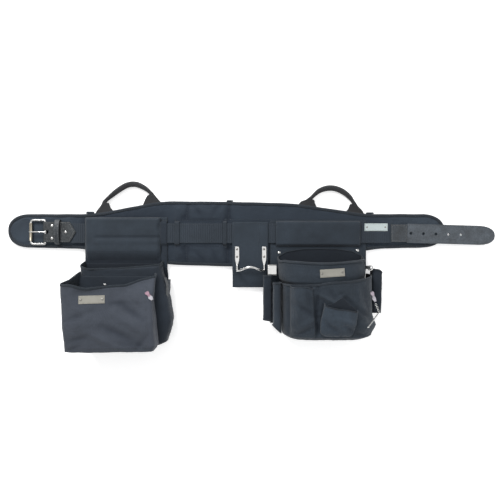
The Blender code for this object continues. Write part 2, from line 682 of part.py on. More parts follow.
def make_hammer_loop(body):
    """One piece of steel: two flattened ends riveted on, and a wire bow that stands out for the hammer."""
    tab_z, tab_thick, radius = TUNNEL_TOP + GAP, 0.0022, 0.0026
    tab_x, tab_top, tab_low, arm_end = (0.019, 0.088), -0.034, -0.0755, -0.098
    wire_z = tab_z + radius + 0.0002
    half = (tab_x[1] - tab_x[0]) / 2
    middle = (tab_x[0] + tab_x[1]) / 2
    lean, reach = 0.013, 0.036
    bow = []
    for step in range(1, 12):
        angle = math.pi * step / 12
        out = math.sin(angle)
        bow.append((middle - half * math.cos(angle), arm_end + lean * out - 0.004 * math.sin(2 * angle) ** 2,
                    wire_z + reach * out))
    route = [(tab_x[0], tab_low + 0.006, wire_z), (tab_x[0], arm_end + 0.004, wire_z)] + bow
    route += [(tab_x[1], arm_end + 0.004, wire_z), (tab_x[1], tab_low + 0.006, wire_z)]
    loop = as_mesh(wire("hammer_loop", route, radius, "steel", body))
    for number, x in enumerate(tab_x, start=1):
        tab = box(f"hammer_tab_{number}", (x - 0.006, tab_low, tab_z), (x + 0.006, tab_top, tab_z + tab_thick),
                  "steel", rounding=0.0008)
        cut(loop, tab, "UNION")
    rivets = [(x, y) for x in tab_x for y in (-0.041, -0.060)]
    for number, (x, y) in enumerate(rivets, start=1):
        rivet(f"hammer_rivet_{number}", (x, y, tab_z + tab_thick + GAP), 0.0032, body)


def make_right_pouch():
    body = pivot("right_pouch_body", (0.229, 0.0, WEB_TOP))
    hanging_panel("right_back_panel", 0.0325, -0.232, *RIGHT_BACK, body)
    tunnel_panel("right_tunnel_panel", 0.0320, -0.0340, *RIGHT_TUNNEL, body)
    inner_lift = WALL + 0.0008
    # each row: y back, y front, left edge, right edge, height of the front
    sections = [(-0.252, -0.252, 0.148, 0.332, 0.092), (-0.200, -0.200, 0.138, 0.342, 0.100),
                (-0.150, -0.150, 0.137, 0.342, 0.103), (-0.128, -0.128, 0.136, 0.342, 0.106)]
    for y in reversed(DROP_STEPS):
        narrowing = smooth(DROP_START, -0.128, y) * 0.012
        sections.append((y, y - 0.008, 0.124 + narrowing, 0.340, 0.108))
    sections.append((-0.058, -0.073, 0.123, 0.337, 0.108))
    rings = []
    for y_back, y_front, x_low, x_high, height in sections:
        back = pouch_back(y_back) + inner_lift
        rings.append(pouch_ring(y_back, y_front, x_low, x_high, back, height - back, height - back, 0.75, 0.6))
    pouch("right_main_pouch", rings, "cloth", body)
    rings = []
    for y, x_low, x_high, height in FRONT_ROWS:
        rise = height - FRONT_BACK
        rings.append(pouch_ring(y, y, x_low, x_high, FRONT_BACK, rise, rise, FRONT_SQUARE, FRONT_SWELL))
    pouch("right_front_pocket", rings, "cloth", body)
    make_right_pockets(body)
    make_right_hardware(body)


def front_height(x, y):
    """How high the right pouch's front pocket stands at a spot."""
    pairs = list(zip(FRONT_ROWS, FRONT_ROWS[1:]))
    before, after = next((pair for pair in pairs if y <= pair[1][0]), pairs[-1])
    share = (y - before[0]) / (after[0] - before[0])
    low, high, height = (start + (end - start) * share for start, end in zip(before[1:], after[1:]))
    centre, half = (low + high) / 2, (high - low) / 2
    across = min(abs(x - centre) / half, 1.0) ** (1 / FRONT_SQUARE)
    return FRONT_BACK + (height - FRONT_BACK) * (1 - across ** 2) ** (FRONT_SWELL / 2)


def on_front(ring):
    """A small pocket's section, standing on the front pocket's curve."""
    return [(x, y, z + front_height(x, y)) for x, y, z in ring]


def make_right_pockets(body):
    """The small pockets and tool sleeves sewn round the right pouch."""
    clear = 0.0012
    # each row: y, left edge, right edge, rise
    pleat = [(-0.250, 0.149, 0.212, 0.0090), (-0.226, 0.148, 0.212, 0.0095), (-0.200, 0.147, 0.212, 0.0100),
             (-0.150, 0.147, 0.212, 0.0105), (-0.132, 0.147, 0.210, 0.0110)]
    rings = [on_front(pouch_ring(y, y, low, high, clear, rise, rise, 0.4, 0.3)) for y, low, high, rise in pleat]
    pouch("right_pleat_pocket", rings, "cloth", body)
    # each row: y back, y front, left edge, right edge, rise at the left, rise at the right
    patch = [(-0.244, -0.244, 0.216, 0.292, 0.0080, 0.0070), (-0.226, -0.226, 0.217, 0.297, 0.0110, 0.0085),
             (-0.215, -0.215, 0.218, 0.300, 0.0125, 0.0100), (-0.200, -0.204, 0.221, 0.302, 0.0140, 0.0110),
             (-0.179, -0.187, 0.226, 0.305, 0.0155, 0.0120)]
    rings = [on_front(pouch_ring(back, front, low, high, clear, rise_low, rise_high, 0.4, 0.3))
             for back, front, low, high, rise_low, rise_high in patch]
    pouch("right_patch_pocket", rings, "cloth", body)
    open_box("tool_sleeve_1", (0.0850, -0.217, 0.025), (0.1068, -0.108, 0.052), "cloth", body, both_ends=True)
    open_box("tool_sleeve_2", (0.1080, -0.228, 0.050), (0.1286, -0.125, 0.080), "cloth", body, both_ends=True)
    open_box("right_side_sleeve", (0.3565, -0.198, 0.018), (0.3830, -0.095, 0.048), "cloth", body)


def make_right_hardware(body):
    name_plate("right_name_plate", "right_plate_rivet", (0.2460, -0.0970, 0.1086), 4.0, body)
    rivet("right_corner_rivet_1", (0.1270, -0.0500, BACK_TOP + GAP), 0.0035, body)
    rivet("right_corner_rivet_2", (0.3280, -0.0440, BACK_TOP + GAP), 0.0035, body)
    tab_z = 0.0220
    box("clip_tab", (0.0990, -0.1040, tab_z), (0.1215, -0.0840, tab_z + WALL), "webbing", body)
    leg_low = tab_z + WALL + GAP
    thick, top = 0.0012, -0.0795
    middle, bend = leg_low + 0.0040, 0.0040
    outer = [(-0.1030, leg_low)] + arc((top - bend, middle), bend, -90, 90, 6) + [(-0.1060, middle + bend)]
    inner = [(-0.1060, middle + bend - thick)] + arc((top - bend, middle), bend - thick, 90, -90, 6)
    inner += [(-0.1030, leg_low + thick)]
    profile_along_x("tape_clip", [outer + inner], 0.0970, 0.1195, "steel", body)
    woven_tag("right_woven_tag", (0.3478, -0.1552, 0.0885), -66, body, (0.45, 0.0, 1.0))
    ring = [(x + 0.3500, y - 0.0875, 0.0540) for x, y in arc((0, 0), 0.0060, 0, 336, 14)]
    wire("chain_clip", ring, 0.0012, "steel", body, cyclic=True)

    chain = pivot("chain_body", CHAIN_TOP)
    top, toggle_end = Vector(CHAIN_TOP), Vector(TOGGLE_TOP)
    run = (toggle_end - top).normalized()
    wire("tape_chain", [top, toggle_end - run * 0.0030], 0.0018, "steel", chain)
    toggle = pivot("toggle_body", TOGGLE_TOP)
    foot = Vector(TOGGLE_FOOT)
    wire("toggle_bar", [toggle_end, foot], 0.0016, "steel", toggle)


clear_scene()
make_back_support()
make_webbing()
make_suspender_tabs()
make_chape()
make_buckle()
make_keeper()
make_tongue()
make_handle("left_handle", LEFT_FEET, LEFT_GRIP)
make_handle("right_handle", RIGHT_FEET, RIGHT_GRIP)
make_left_pouch()
make_hammer_holder()
make_right_pouch()
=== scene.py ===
import math

import bpy
from mathutils import Matrix, Vector, noise
from mathutils.bvhtree import BVHTree


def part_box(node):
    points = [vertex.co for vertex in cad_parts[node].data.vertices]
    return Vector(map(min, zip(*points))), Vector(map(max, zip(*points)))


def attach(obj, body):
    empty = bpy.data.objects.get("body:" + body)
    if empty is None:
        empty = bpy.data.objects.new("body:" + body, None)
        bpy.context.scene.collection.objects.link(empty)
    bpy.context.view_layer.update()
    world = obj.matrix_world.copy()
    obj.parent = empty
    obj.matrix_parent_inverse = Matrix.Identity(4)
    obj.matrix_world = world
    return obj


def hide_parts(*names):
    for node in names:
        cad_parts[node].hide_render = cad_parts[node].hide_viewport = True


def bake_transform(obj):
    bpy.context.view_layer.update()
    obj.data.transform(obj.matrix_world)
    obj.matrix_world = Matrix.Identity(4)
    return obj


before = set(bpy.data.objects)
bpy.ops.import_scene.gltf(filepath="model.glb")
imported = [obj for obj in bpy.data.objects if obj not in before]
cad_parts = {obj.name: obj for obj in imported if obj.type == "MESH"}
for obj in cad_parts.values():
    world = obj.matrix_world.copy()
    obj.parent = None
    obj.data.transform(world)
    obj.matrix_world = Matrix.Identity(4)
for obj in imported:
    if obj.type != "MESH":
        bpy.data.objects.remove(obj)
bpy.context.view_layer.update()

PAD_TOP_EDGE = [(-0.514, 0.05), (-0.351, 0.05), (-0.177, 0.083), (0.0, 0.082), (0.14, 0.0785), (0.18, 0.0755),
                (0.351, 0.05), (0.491, 0.05)]
PAD_BOTTOM_EDGE = [(-0.514, -0.037), (-0.377, -0.04), (-0.161, -0.081), (0.0, -0.086), (0.161, -0.081),
                   (0.377, -0.04), (0.491, -0.037)]
# the straight part of the support ends at these X, and its round ends reach this much further
PAD_LEFT, PAD_RIGHT = -0.514, 0.491
PAD_LEFT_REACH, PAD_RIGHT_REACH = 0.058, 0.063
PAD_INSET = 0.005
PAD_MIDDLE = 0.0065
WEB_TOP, WEB_MIDDLE = 0.0183, 0.01655
BACK_TOP = 0.0142

# the right pouch's front pocket, each row: y, left edge, right edge, height
FRONT_ROWS = ((-0.259, 0.142, 0.338, 0.102), (-0.25, 0.132, 0.354, 0.112), (-0.226, 0.129, 0.364, 0.117),
              (-0.216, 0.129, 0.3605, 0.118), (-0.2, 0.129, 0.355, 0.118), (-0.15, 0.129, 0.3545, 0.119),
              (-0.1215, 0.129, 0.3535, 0.119))
FRONT_BACK, FRONT_SQUARE, FRONT_SWELL = 0.0022, 0.7, 0.5
# where the plates and tags lie: centre, turn in degrees, and the slope's normal
SEATS = {"left_name_plate": ((-0.318, -0.159, 0.1166), 1.5, (0.245, 0.18, 1.0)),
         "right_name_plate": ((0.246, -0.097, 0.1086), 4.0, (0.0, 0.0, 1.0)),
         "left_woven_tag": ((-0.1905, -0.154, 0.0851), -52, (0.12, 0.44, 1.0)),
         "right_woven_tag": ((0.3478, -0.1552, 0.0885), -66, (0.45, 0.0, 1.0))}

CHARCOAL = (0.024, 0.034, 0.047)
# painted shade: the cloth drawn darker for the insides of the pouches
INSIDE_SHADE_COLOUR = (0.009, 0.014, 0.022)
PALE = (0.05, 0.059, 0.077)
WEB = (0.025, 0.034, 0.046)
HANDLE = (0.028, 0.029, 0.032)
HIDE = (0.046, 0.055, 0.062)
THREAD = (0.06, 0.07, 0.084)
# painted shade in folds: how much of each colour channel is left where a fold is deepest, and the depths that
# count as deepest
CREASE_SHADE_TINT = (0.34, 0.4, 0.48)
BAG_SHADE_FOLD, PAD_SHADE_FOLD = 0.0085, 0.006
# half the length and width over which a name plate holds the cloth flat
PLATE_REACH = (0.029, 0.0095)
# a stitch shows for this share of its pitch, as a thin double pyramid
STITCH_SHARE = 0.66
STITCH_FACES = [(0, 3, 2), (0, 4, 3), (0, 5, 4), (0, 2, 5), (1, 2, 3), (1, 3, 4), (1, 4, 5), (1, 5, 2)]

looks = {}
stitching = {}


# ---------------------------------------------------------------- materials

def add(tree, kind, settings=None, **inputs):
    """One shader node, with its settings and its unlinked input values."""
    node = tree.nodes.new(kind)
    for key, value in (settings or {}).items():
        setattr(node, key, value)
    for key, value in inputs.items():
        node.inputs[key.replace("_", " ")].default_value = value
    return node


def principled(name, roughness, metallic=0.0, **inputs):
    made = bpy.data.materials.new(name)
    made.use_nodes = True
    tree = made.node_tree
    shader = tree.nodes["Principled BSDF"]
    shader.inputs["Roughness"].default_value = roughness
    shader.inputs["Metallic"].default_value = metallic
    for key, value in inputs.items():
        shader.inputs[key.replace("_", " ")].default_value = value
    looks[name] = made
    return tree, shader, add(tree, "ShaderNodeTexCoord").outputs["Object"]


def maths(tree, operation, first, second):
    node = add(tree, "ShaderNodeMath", {"operation": operation})
    for index, value in enumerate((first, second)):
        if isinstance(value, float):
            node.inputs[index].default_value = value
        else:
            tree.links.new(value, node.inputs[index])
    return node.outputs[0]


def weighted(tree, *parts):
    """The sum of (value, weight) pairs."""
    total = None
    for value, weight in parts:
        share = maths(tree, "MULTIPLY", value, weight)
        total = maths(tree, "ADD", total, share) if total else share
    return total


def noise_node(tree, coords, scale, detail=2.0):
    node = add(tree, "ShaderNodeTexNoise", Scale=scale, Detail=detail)
    tree.links.new(coords, node.inputs["Vector"])
    return node.outputs["Fac"]


def wave_node(tree, coords, axis, period):
    """Bands across an axis, one each period in metres."""
    node = add(tree, "ShaderNodeTexWave", {"wave_type": "BANDS", "bands_direction": axis},
               Scale=math.tau / 20 / period, Detail=1.0)
    tree.links.new(coords, node.inputs["Vector"])
    return node.outputs["Fac"]


def weave_node(tree, coords, axes, thread):
    """Threads that cross along the axes, each as wide as thread."""
    total = wave_node(tree, coords, axes[0], thread)
    for axis in axes[1:]:
        total = maths(tree, "ADD", total, wave_node(tree, coords, axis, thread))
    return total


def colour_between(tree, factor, low, high, start=0.3, end=0.7):
    ramp = add(tree, "ShaderNodeValToRGB")
    ramp.color_ramp.elements[0].position = start
    ramp.color_ramp.elements[1].position = end
    ramp.color_ramp.elements[0].color = (*low, 1.0)
    ramp.color_ramp.elements[1].color = (*high, 1.0)
    tree.links.new(factor, ramp.inputs["Fac"])
    return ramp.outputs["Color"]


def tint(tree, shader, factor, low, high, start=0.3, end=0.7):
    """Colours the shader from low to high as factor rises."""
    tree.links.new(colour_between(tree, factor, low, high, start, end), shader.inputs["Base Color"])


def polish(tree, shader, marks, share, level):
    """Makes the roughness vary with the marks."""
    shine = maths(tree, "ADD", maths(tree, "MULTIPLY", marks, share), level)
    tree.links.new(shine, shader.inputs["Roughness"])


def scaled(colour, factor):
    return tuple(channel * factor for channel in colour)


def bump(tree, shader, height, distance, strength=1.0):
    node = add(tree, "ShaderNodeBump", Distance=distance, Strength=strength)
    tree.links.new(height, node.inputs["Height"])
    tree.links.new(node.outputs["Normal"], shader.inputs["Normal"])


def fabric(name, colour, thread=0.0013, sheen=0.1, rib_axis=None, rib=0.0048, spread=0.25):
    """Woven cloth: crossing threads, a cloudy tone, painted shade in its creases, and on webbing a run of
    ribs.
    """
    tree, shader, coords = principled(name, 0.82, Sheen_Weight=sheen, Sheen_Roughness=0.5,
                                      Specular_IOR_Level=0.35)
    weave = weave_node(tree, coords, "XYZ", thread)
    cloud = noise_node(tree, coords, 22.0, 4.0)
    fleck = noise_node(tree, coords, 420.0)
    tones, heights = [(cloud, 0.62), (fleck, 0.2), (weave, 0.06)], [(weave, 0.34), (fleck, 0.5)]
    if rib_axis:
        ribs = wave_node(tree, coords, rib_axis, rib)
        tones.append((ribs, 0.12))
        heights.append((ribs, 1.6))
    tone = weighted(tree, *tones)
    woven = colour_between(tree, tone, scaled(colour, 1 - spread), scaled(colour, 1 + spread))
    # painted shade: the colour darkens by how much shade is marked at each point, in folds and in shadowed
    # places
    shade_marks = add(tree, "ShaderNodeAttribute", {"attribute_name": "crease"})
    mixer = add(tree, "ShaderNodeMix", {"data_type": "RGBA"})
    deepest = [share * channel for share, channel in zip(CREASE_SHADE_TINT, colour)]
    mixer.inputs["B"].default_value = (*deepest, 1.0)
    tree.links.new(shade_marks.outputs["Fac"], mixer.inputs["Factor"])
    tree.links.new(woven, mixer.inputs["A"])
    tree.links.new(mixer.outputs["Result"], shader.inputs["Base Color"])
    bump(tree, shader, weighted(tree, *heights), 0.0007, 0.9)


def hide(name, colour, roughness=0.42):
    """Leather: pebbled grain, uneven dye and a soft polish."""
    tree, shader, coords = principled(name, roughness, Coat_Weight=0.12, Coat_Roughness=0.35)
    grain = add(tree, "ShaderNodeTexVoronoi", {"feature": "SMOOTH_F1"}, Scale=380.0)
    tree.links.new(coords, grain.inputs["Vector"])
    cloud = noise_node(tree, coords, 45.0, 6.0)
    tone = weighted(tree, (cloud, 0.8), (grain.outputs["Distance"], 0.3))
    tint(tree, shader, tone, scaled(colour, 0.6), scaled(colour, 1.4), 0.35, 0.75)
    polish(tree, shader, cloud, 0.3, roughness - 0.15)
    bump(tree, shader, weighted(tree, (grain.outputs["Distance"], 1.0), (cloud, 0.8)), 0.0012, 0.9)


def metal(name, colour, roughness, brushed=0.0):
    """Plated steel, with faint handling marks or a brushed grain along X."""
    tree, shader, coords = principled(name, roughness, 1.0)
    stretched = add(tree, "ShaderNodeMapping")
    stretched.inputs["Scale"].default_value = (1.0 - 0.95 * brushed, 1.0, 1.0)
    tree.links.new(coords, stretched.inputs["Vector"])
    marks = noise_node(tree, stretched.outputs["Vector"], 900.0, 3.0)
    cloud = noise_node(tree, coords, 60.0, 3.0)
    tint(tree, shader, cloud, scaled(colour, 0.88), colour)
    polish(tree, shader, marks, 0.22, roughness - 0.08)
    bump(tree, shader, marks, 0.00006, 0.4)


def tag_cloth(name, colour, block, axis_point, reach):
    """A pale woven tag with a plain muted block of colour."""
    tree, shader, coords = principled(name, 0.75, Sheen_Weight=0.1)
    apart = add(tree, "ShaderNodeVectorMath", {"operation": "DISTANCE"})
    apart.inputs[1].default_value = axis_point
    tree.links.new(coords, apart.inputs[0])
    weave = weave_node(tree, coords, "XY", 0.0007)
    share = maths(tree, "DIVIDE", apart.outputs["Value"], reach)
    tint(tree, shader, share, block, colour, 0.8, 1.0)
    bump(tree, shader, weave, 0.0002, 0.7)


def make_looks():
    fabric("cloth", CHARCOAL)
    # the insides of the pouches, as painted shade
    fabric("cloth_deep_shade", INSIDE_SHADE_COLOUR)
    fabric("cloth_pale", PALE, sheen=0.12, spread=0.16)
    fabric("cloth_light", scaled(CHARCOAL, 1.34))
    fabric("cloth_shade", (0.0145, 0.0215, 0.032))
    fabric("thread_pale", (0.3, 0.31, 0.31), thread=0.0006, spread=0.1)
    fabric("webbing", WEB, rib_axis="X", rib=0.0056)
    fabric("webbing_fine", WEB, rib_axis="X", rib=0.0024)
    fabric("binding", scaled(WEB, 0.85), rib_axis="X", rib=0.0022)
    fabric("strip", (0.1, 0.105, 0.11), rib_axis="Y", rib=0.003)
    fabric("handle", HANDLE, rib_axis="X", rib=0.003)
    fabric("thread", THREAD, thread=0.0006, spread=0.1)
    fabric("label", (0.6, 0.68, 0.68), thread=0.0008, spread=0.05)
    hide("leather", scaled(HIDE, 0.54))
    hide("leather_dark", (0.029, 0.036, 0.044), 0.5)
    # the tongue's leather: painted lighter and bluer than the chape's, to stand in for the reflection it
    # shows
    hide("leather_painted_reflection", (0.06, 0.073, 0.088), 0.44)
    metal("nickel", (0.74, 0.74, 0.73), 0.22)
    metal("warm_nickel", (0.5, 0.45, 0.36), 0.32, 1.0)
    metal("plate", (0.34, 0.33, 0.295), 0.38, 1.0)
    metal("stud", (0.3, 0.29, 0.27), 0.3)
    for side, colour, block, reach in (("left", (0.44, 0.43, 0.47), (0.36, 0.22, 0.28), 0.016),
                                       ("right", (0.5, 0.48, 0.53), (0.44, 0.38, 0.44), 0.012)):
        tag_cloth(f"tag_{side}", colour, block, seat(f"{side}_woven_tag") @ Vector((-0.013, 0.0, 0.0)), reach)


# ---------------------------------------------------------------- shapes


def piece(name, points, faces, look, body, replaces=()):
    """A smooth mesh object in the row frame that rides on a body."""
    data = bpy.data.meshes.new(name)
    data.from_pydata([tuple(point) for point in points], [], faces)
    data.polygons.foreach_set("use_smooth", [True] * len(data.polygons))
    data.materials.append(looks[look])
    obj = bpy.data.objects.new(name, data)
    bpy.context.scene.collection.objects.link(obj)
    if body is not None:
        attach(obj, body)
    if replaces:
        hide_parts(*replaces)
    return obj


def modifier(obj, kind, **settings):
    made = obj.modifiers.new(kind.lower(), kind)
    for key, value in settings.items():
        setattr(made, key, value)
    return obj


def solidify(obj, thickness):
    """Gives a sheet its thickness, inwards."""
    return modifier(obj, "SOLIDIFY", thickness=thickness, offset=-1.0, use_even_offset=False)


def soft_edges(obj, width, segments=3, angle=35):
    return modifier(obj, "BEVEL", width=width, segments=segments, limit_method="ANGLE",
                    angle_limit=math.radians(angle), harden_normals=False)


def grid_faces(rows, columns, wrap=False, flip=False):
    faces = []
    for row in range(rows - 1):
        for column in range(columns if wrap else columns - 1):
            after = (column + 1) % columns
            face = (row * columns + column, row * columns + after, (row + 1) * columns + after,
                    (row + 1) * columns + column)
            faces.append(face[::-1] if flip else face)
    return faces


def bar_faces(stations, sides, closed=False, flip=False):
    """Faces of a bar made of rings: its skin, and either its two ends or the join between them."""
    faces = grid_faces(stations, sides, wrap=True, flip=flip)
    last = (stations - 1) * sides
    if closed:
        ends = [(last + step, last + (step + 1) % sides, (step + 1) % sides, step) for step in range(sides)]
    else:
        ends = [tuple(reversed(range(sides))), tuple(range(last, last + sides))]
    return faces + [face[::-1] if flip else face for face in ends]


def blend_in(low, high, value):
    """A smooth step from 0 at low to 1 at high."""
    share = min(max((value - low) / (high - low), 0.0), 1.0)
    return share * share * (3 - 2 * share)


def bell(value, width):
    return math.exp(-(value / width) ** 2)


def mix(first, second, share):
    return first + (second - first) * share


def signed_power(value, power):
    return math.copysign(abs(value) ** power, value)


def along(table, value):
    """A smooth curve through (value, number...) rows."""
    if value <= table[0][0]:
        return table[0][1:]
    for before, after in zip(table, table[1:]):
        if value <= after[0]:
            share = blend_in(before[0], after[0], value)
            share = (share + (value - before[0]) / (after[0] - before[0])) / 2
            return tuple(mix(a, b, share) for a, b in zip(before[1:], after[1:]))
    return table[-1][1:]


def smooth_path(points, steps, closed=False):
    """A Catmull-Rom curve through points."""
    count = len(points)
    points = [Vector(point) for point in points]
    made = []
    for index in range(count if closed else count - 1):
        if closed:
            a, b, c, d = (points[(index + offset) % count] for offset in (-1, 0, 1, 2))
        else:
            a, b, c, d = (points[min(max(index + offset, 0), count - 1)] for offset in (-1, 0, 1, 2))
        for step in range(steps):
            t = step / steps
            made.append(((2 * b) + (c - a) * t + (2 * a - 5 * b + 4 * c - d) * t * t
                         + (3 * b - a - 3 * c + d) * t ** 3) / 2)
    if not closed:
        made.append(points[-1])
    return made


def tube(points, radius, sides=12, closed=False, flat=1.0, up=None):
    """Points and faces of a round or flattened bar along a path; radius is a number or one for each point."""
    points = [Vector(point) for point in points]
    count = len(points)
    radii = [radius] * count if isinstance(radius, float) else list(radius)
    made = []
    normal = Vector(up) if up else None
    for index, point in enumerate(points):
        before = points[index - 1] if index or closed else point
        after = points[(index + 1) % count] if index + 1 < count or closed else point
        run = (after - before).normalized()
        if normal is None:
            normal = run.orthogonal()
        normal = (normal - run * normal.dot(run)).normalized()
        side = run.cross(normal)
        for step in range(sides):
            angle = math.tau * step / sides
            made.append(point + (normal * math.cos(angle) * flat + side * math.sin(angle)) * radii[index])
    return made, bar_faces(count, sides, closed)


def joined(parts):
    """Several (points, faces) pairs as one."""
    points, faces = [], []
    for some_points, some_faces in parts:
        start = len(points)
        points += some_points
        faces += [tuple(corner + start for corner in face) for face in some_faces]
    return points, faces


def dome(centre, radius, height, up=(0, 0, 1)):
    """A rivet head: a rim, a step and a dome."""
    rings, sides = 6, 18
    up = Vector(up).normalized()
    across = up.orthogonal().normalized()
    side = up.cross(across)
    profile = [(1.0, 0.0), (1.0, 0.22), (0.9, 0.34), (0.8, 0.36)]
    profile += [(0.76 * math.cos(a), 0.36 + 0.64 * math.sin(a))
                for a in (math.pi / 2 * step / rings for step in range(rings))]
    points = []
    for share, rise in profile:
        for step in range(sides):
            angle = math.tau * step / sides
            out = across * math.cos(angle) + side * math.sin(angle)
            points.append(Vector(centre) + out * radius * share + up * height * rise)
    faces = grid_faces(len(profile), sides, wrap=True)
    points.append(Vector(centre) + up * height)
    last = (len(profile) - 1) * sides
    faces += [(last + step, last + (step + 1) % sides, len(points) - 1) for step in range(sides)]
    faces.append(tuple(reversed(range(sides))))
    return points, faces


def surface_of(obj):
    """A search tree over the shape as it is drawn."""
    shown = obj.evaluated_get(bpy.context.evaluated_depsgraph_get())
    mesh = shown.to_mesh()
    points = [obj.matrix_world @ vertex.co for vertex in mesh.vertices]
    tree = BVHTree.FromPolygons(points, [list(polygon.vertices) for polygon in mesh.polygons])
    shown.to_mesh_clear()
    return tree


def dashes(path, pitch, radius):
    """A row of stitches along a path."""
    parts = []
    spare = 0.0
    for before, after in zip(path, path[1:]):
        length = (after - before).length
        if length < 1e-7:
            continue
        run = (after - before) / length
        at = spare
        while at < length:
            start = before + run * at
            end = start + run * pitch * STITCH_SHARE
            across = run.cross(Vector((0, 0, 1)))
            across = across.normalized() if across.length > 0.1 else Vector((1, 0, 0))
            up = across.cross(run)
            middle = (start + end) / 2
            parts.append(([start, end, middle + across * radius, middle + up * radius,
                           middle - across * radius, middle - up * radius], STITCH_FACES))
            at += pitch
        spare = at - length
    return joined(parts)


def divided(path, spacing):
    """The same path with extra points, about spacing apart."""
    fine = []
    for before, after in zip(path, path[1:]):
        count = max(int((after - before).length / spacing), 1)
        fine += [before.lerp(after, index / count) for index in range(count)]
    return fine + [path[-1]]


def straight(start, end, spacing):
    return divided([Vector(start), Vector(end)], spacing)


def sew(body, *paths, tree=None, pitch=0.0042, thread="thread", radius=0.0005):
    """Keep rows of stitches for one body; with a tree, each row is first dropped onto that surface."""
    rows = stitching.setdefault((body, thread), [])
    for path in paths:
        path = [Vector(point) for point in path]
        if tree is not None:
            hits = [tree.ray_cast(Vector((point.x, point.y, 0.3)), Vector((0, 0, -1)))[0]
                    for point in divided(path, 0.002)]
            path = [hit + Vector((0, 0, 0.0003)) for hit in hits if hit is not None]
        if len(path) > 1:
            rows.append(dashes(path, pitch, radius))


def frame_line(low, high, inset, z):
    """A closed rectangle that lies inside two corners."""
    x0, y0, x1, y1 = low.x + inset, low.y + inset, high.x - inset, high.y - inset
    return [(x0, y0, z), (x1, y0, z), (x1, y1, z), (x0, y1, z), (x0, y0, z)]


def finish_stitching():
    for (body, thread), rows in stitching.items():
        piece(f"{body}_{thread}_stitching", *joined(rows), thread, body)


def show_as(node, look):
    """Keep a CAD node and give it a finished surface."""
    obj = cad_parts[node]
    obj.data.materials.clear()
    obj.data.materials.append(looks[look])
    return obj


def ripple(point, size, seed=0.0):
    """Cloth's small unevenness, from -1 to 1."""
    return noise.fractal(Vector((point[0] / size, point[1] / size, point[2] / size + seed)), 0.9, 2.1, 3)


def crease_depth(x, y, creases):
    """How far folds, each (x0, y0, x1, y1, width, depth), press the cloth in; a negative depth lifts it."""
    total = 0.0
    for x0, y0, x1, y1, width, depth in creases:
        run = Vector((x1 - x0, y1 - y0))
        share = Vector((x - x0, y - y0)).dot(run) / run.length_squared
        inside = min(max(share, 0.0), 1.0)
        distance = math.hypot(x - x0 - run.x * inside, y - y0 - run.y * inside)
        if distance < 3 * width:
            middling = math.sin(math.pi * min(max(inside, 0.08), 0.92))
            total += depth * bell(distance, width) * (0.35 + 0.65 * middling)
    return total


# ---------------------------------------------------------------- pouches

def bag_ring(row, count_front, count_back):
    """One section of a pouch: a flat back, and a front that rises across it."""
    y_back, y_front, low, high, back, rise_low, rise_high, lean, square, swell, bow = row
    centre, half = (low + high) / 2, (high - low) / 2
    tallest = max(rise_low, rise_high)
    ring = []
    for step in range(count_front + 1):
        angle = math.pi * step / count_front
        x = centre - half * signed_power(math.cos(angle), square)
        share = (x - low) / (high - low)
        rise = mix(rise_low, rise_high, blend_in(0.1, 0.9, share)) * abs(math.sin(angle)) ** swell
        raised = min(rise / tallest, 1.0)
        ring.append(Vector((x + lean * (1 - share) * raised, y_back + (y_front - y_back) * raised ** bow,
                            back + rise)))
    for step in range(1, count_back):
        ring.append(Vector((high + (low - high) * step / count_back, y_back, back)))
    return ring


def even_ring(ring, fine, count):
    """The same section with its fine front points replaced by count steps of equal length."""
    line = ring[:fine + 1]
    lengths = [0.0]
    for before, after in zip(line, line[1:]):
        lengths.append(lengths[-1] + (after - before).length)
    made = []
    index = 0
    for step in range(count + 1):
        wanted = lengths[-1] * step / count
        while index < len(line) - 2 and lengths[index + 1] < wanted:
            index += 1
        span = max(lengths[index + 1] - lengths[index], 1e-9)
        made.append(line[index].lerp(line[index + 1], min((wanted - lengths[index]) / span, 1.0)))
    return made + ring[fine + 1:]


def seat(name):
    """The place of a plate or tag that lies on a slope."""
    centre, turn, normal = SEATS[name]
    lean = Vector((0.0, 0.0, 1.0)).rotation_difference(Vector(normal)).to_matrix().to_4x4()
    return Matrix.Translation(centre) @ lean @ Matrix.Rotation(math.radians(turn), 4, "Z")


def pressed(point, spot, half_length, half_width):
    """A point of cloth, drawn against the underside of something flat that is fixed to it."""
    local = spot.inverted() @ point
    away = math.hypot(max(abs(local.x) - half_length, 0.0), max(abs(local.y) - half_width, 0.0))
    if away > 0.02 or abs(local.z) > 0.02:
        return point
    local.z = mix(local.z, -0.0003, 1 - blend_in(0.001, 0.02, away))
    return spot @ local


def front_height(x, y):
    """How high the right pouch's front pocket stands at a spot."""
    low, high, height = along(FRONT_ROWS, y)
    across = min(abs(x - (low + high) / 2) / ((high - low) / 2), 1.0) ** (1 / FRONT_SQUARE)
    return FRONT_BACK + (height - FRONT_BACK) * (1 - across ** 2) ** (FRONT_SWELL / 2)


def close_end(points, faces, front, columns, bulge):
    """The sewn bottom of a pouch, ruled from its front edge to its back edge."""
    levels = 9
    back = [0] + [columns - step for step in range(1, front // 2 + 1)]
    base = len(points)

    def corner(level, column):
        if level == 0 or column in (0, front):
            return column
        return base + (level - 1) * (front - 1) + column - 1
    for level in range(1, levels):
        share = level / levels
        for column in range(1, front):
            far = (points[back[column // 2]] + points[back[(column + 1) // 2]]) / 2
            point = points[column].lerp(far, share)
            point.y -= bulge * 4 * share * (1 - share) * (1 - (2 * column / front - 1) ** 4)
            points.append(point)
    for level in range(levels - 1):
        for column in range(front):
            face = (corner(level, column + 1), corner(level, column), corner(level + 1, column),
                    corner(level + 1, column + 1))
            faces.append(tuple(dict.fromkeys(face)))
    for step in range(front // 2):
        column = 2 * step
        face = (corner(levels - 1, column + 2), corner(levels - 1, column + 1), corner(levels - 1, column),
                back[step], back[step + 1])
        faces.append(tuple(dict.fromkeys(face)))


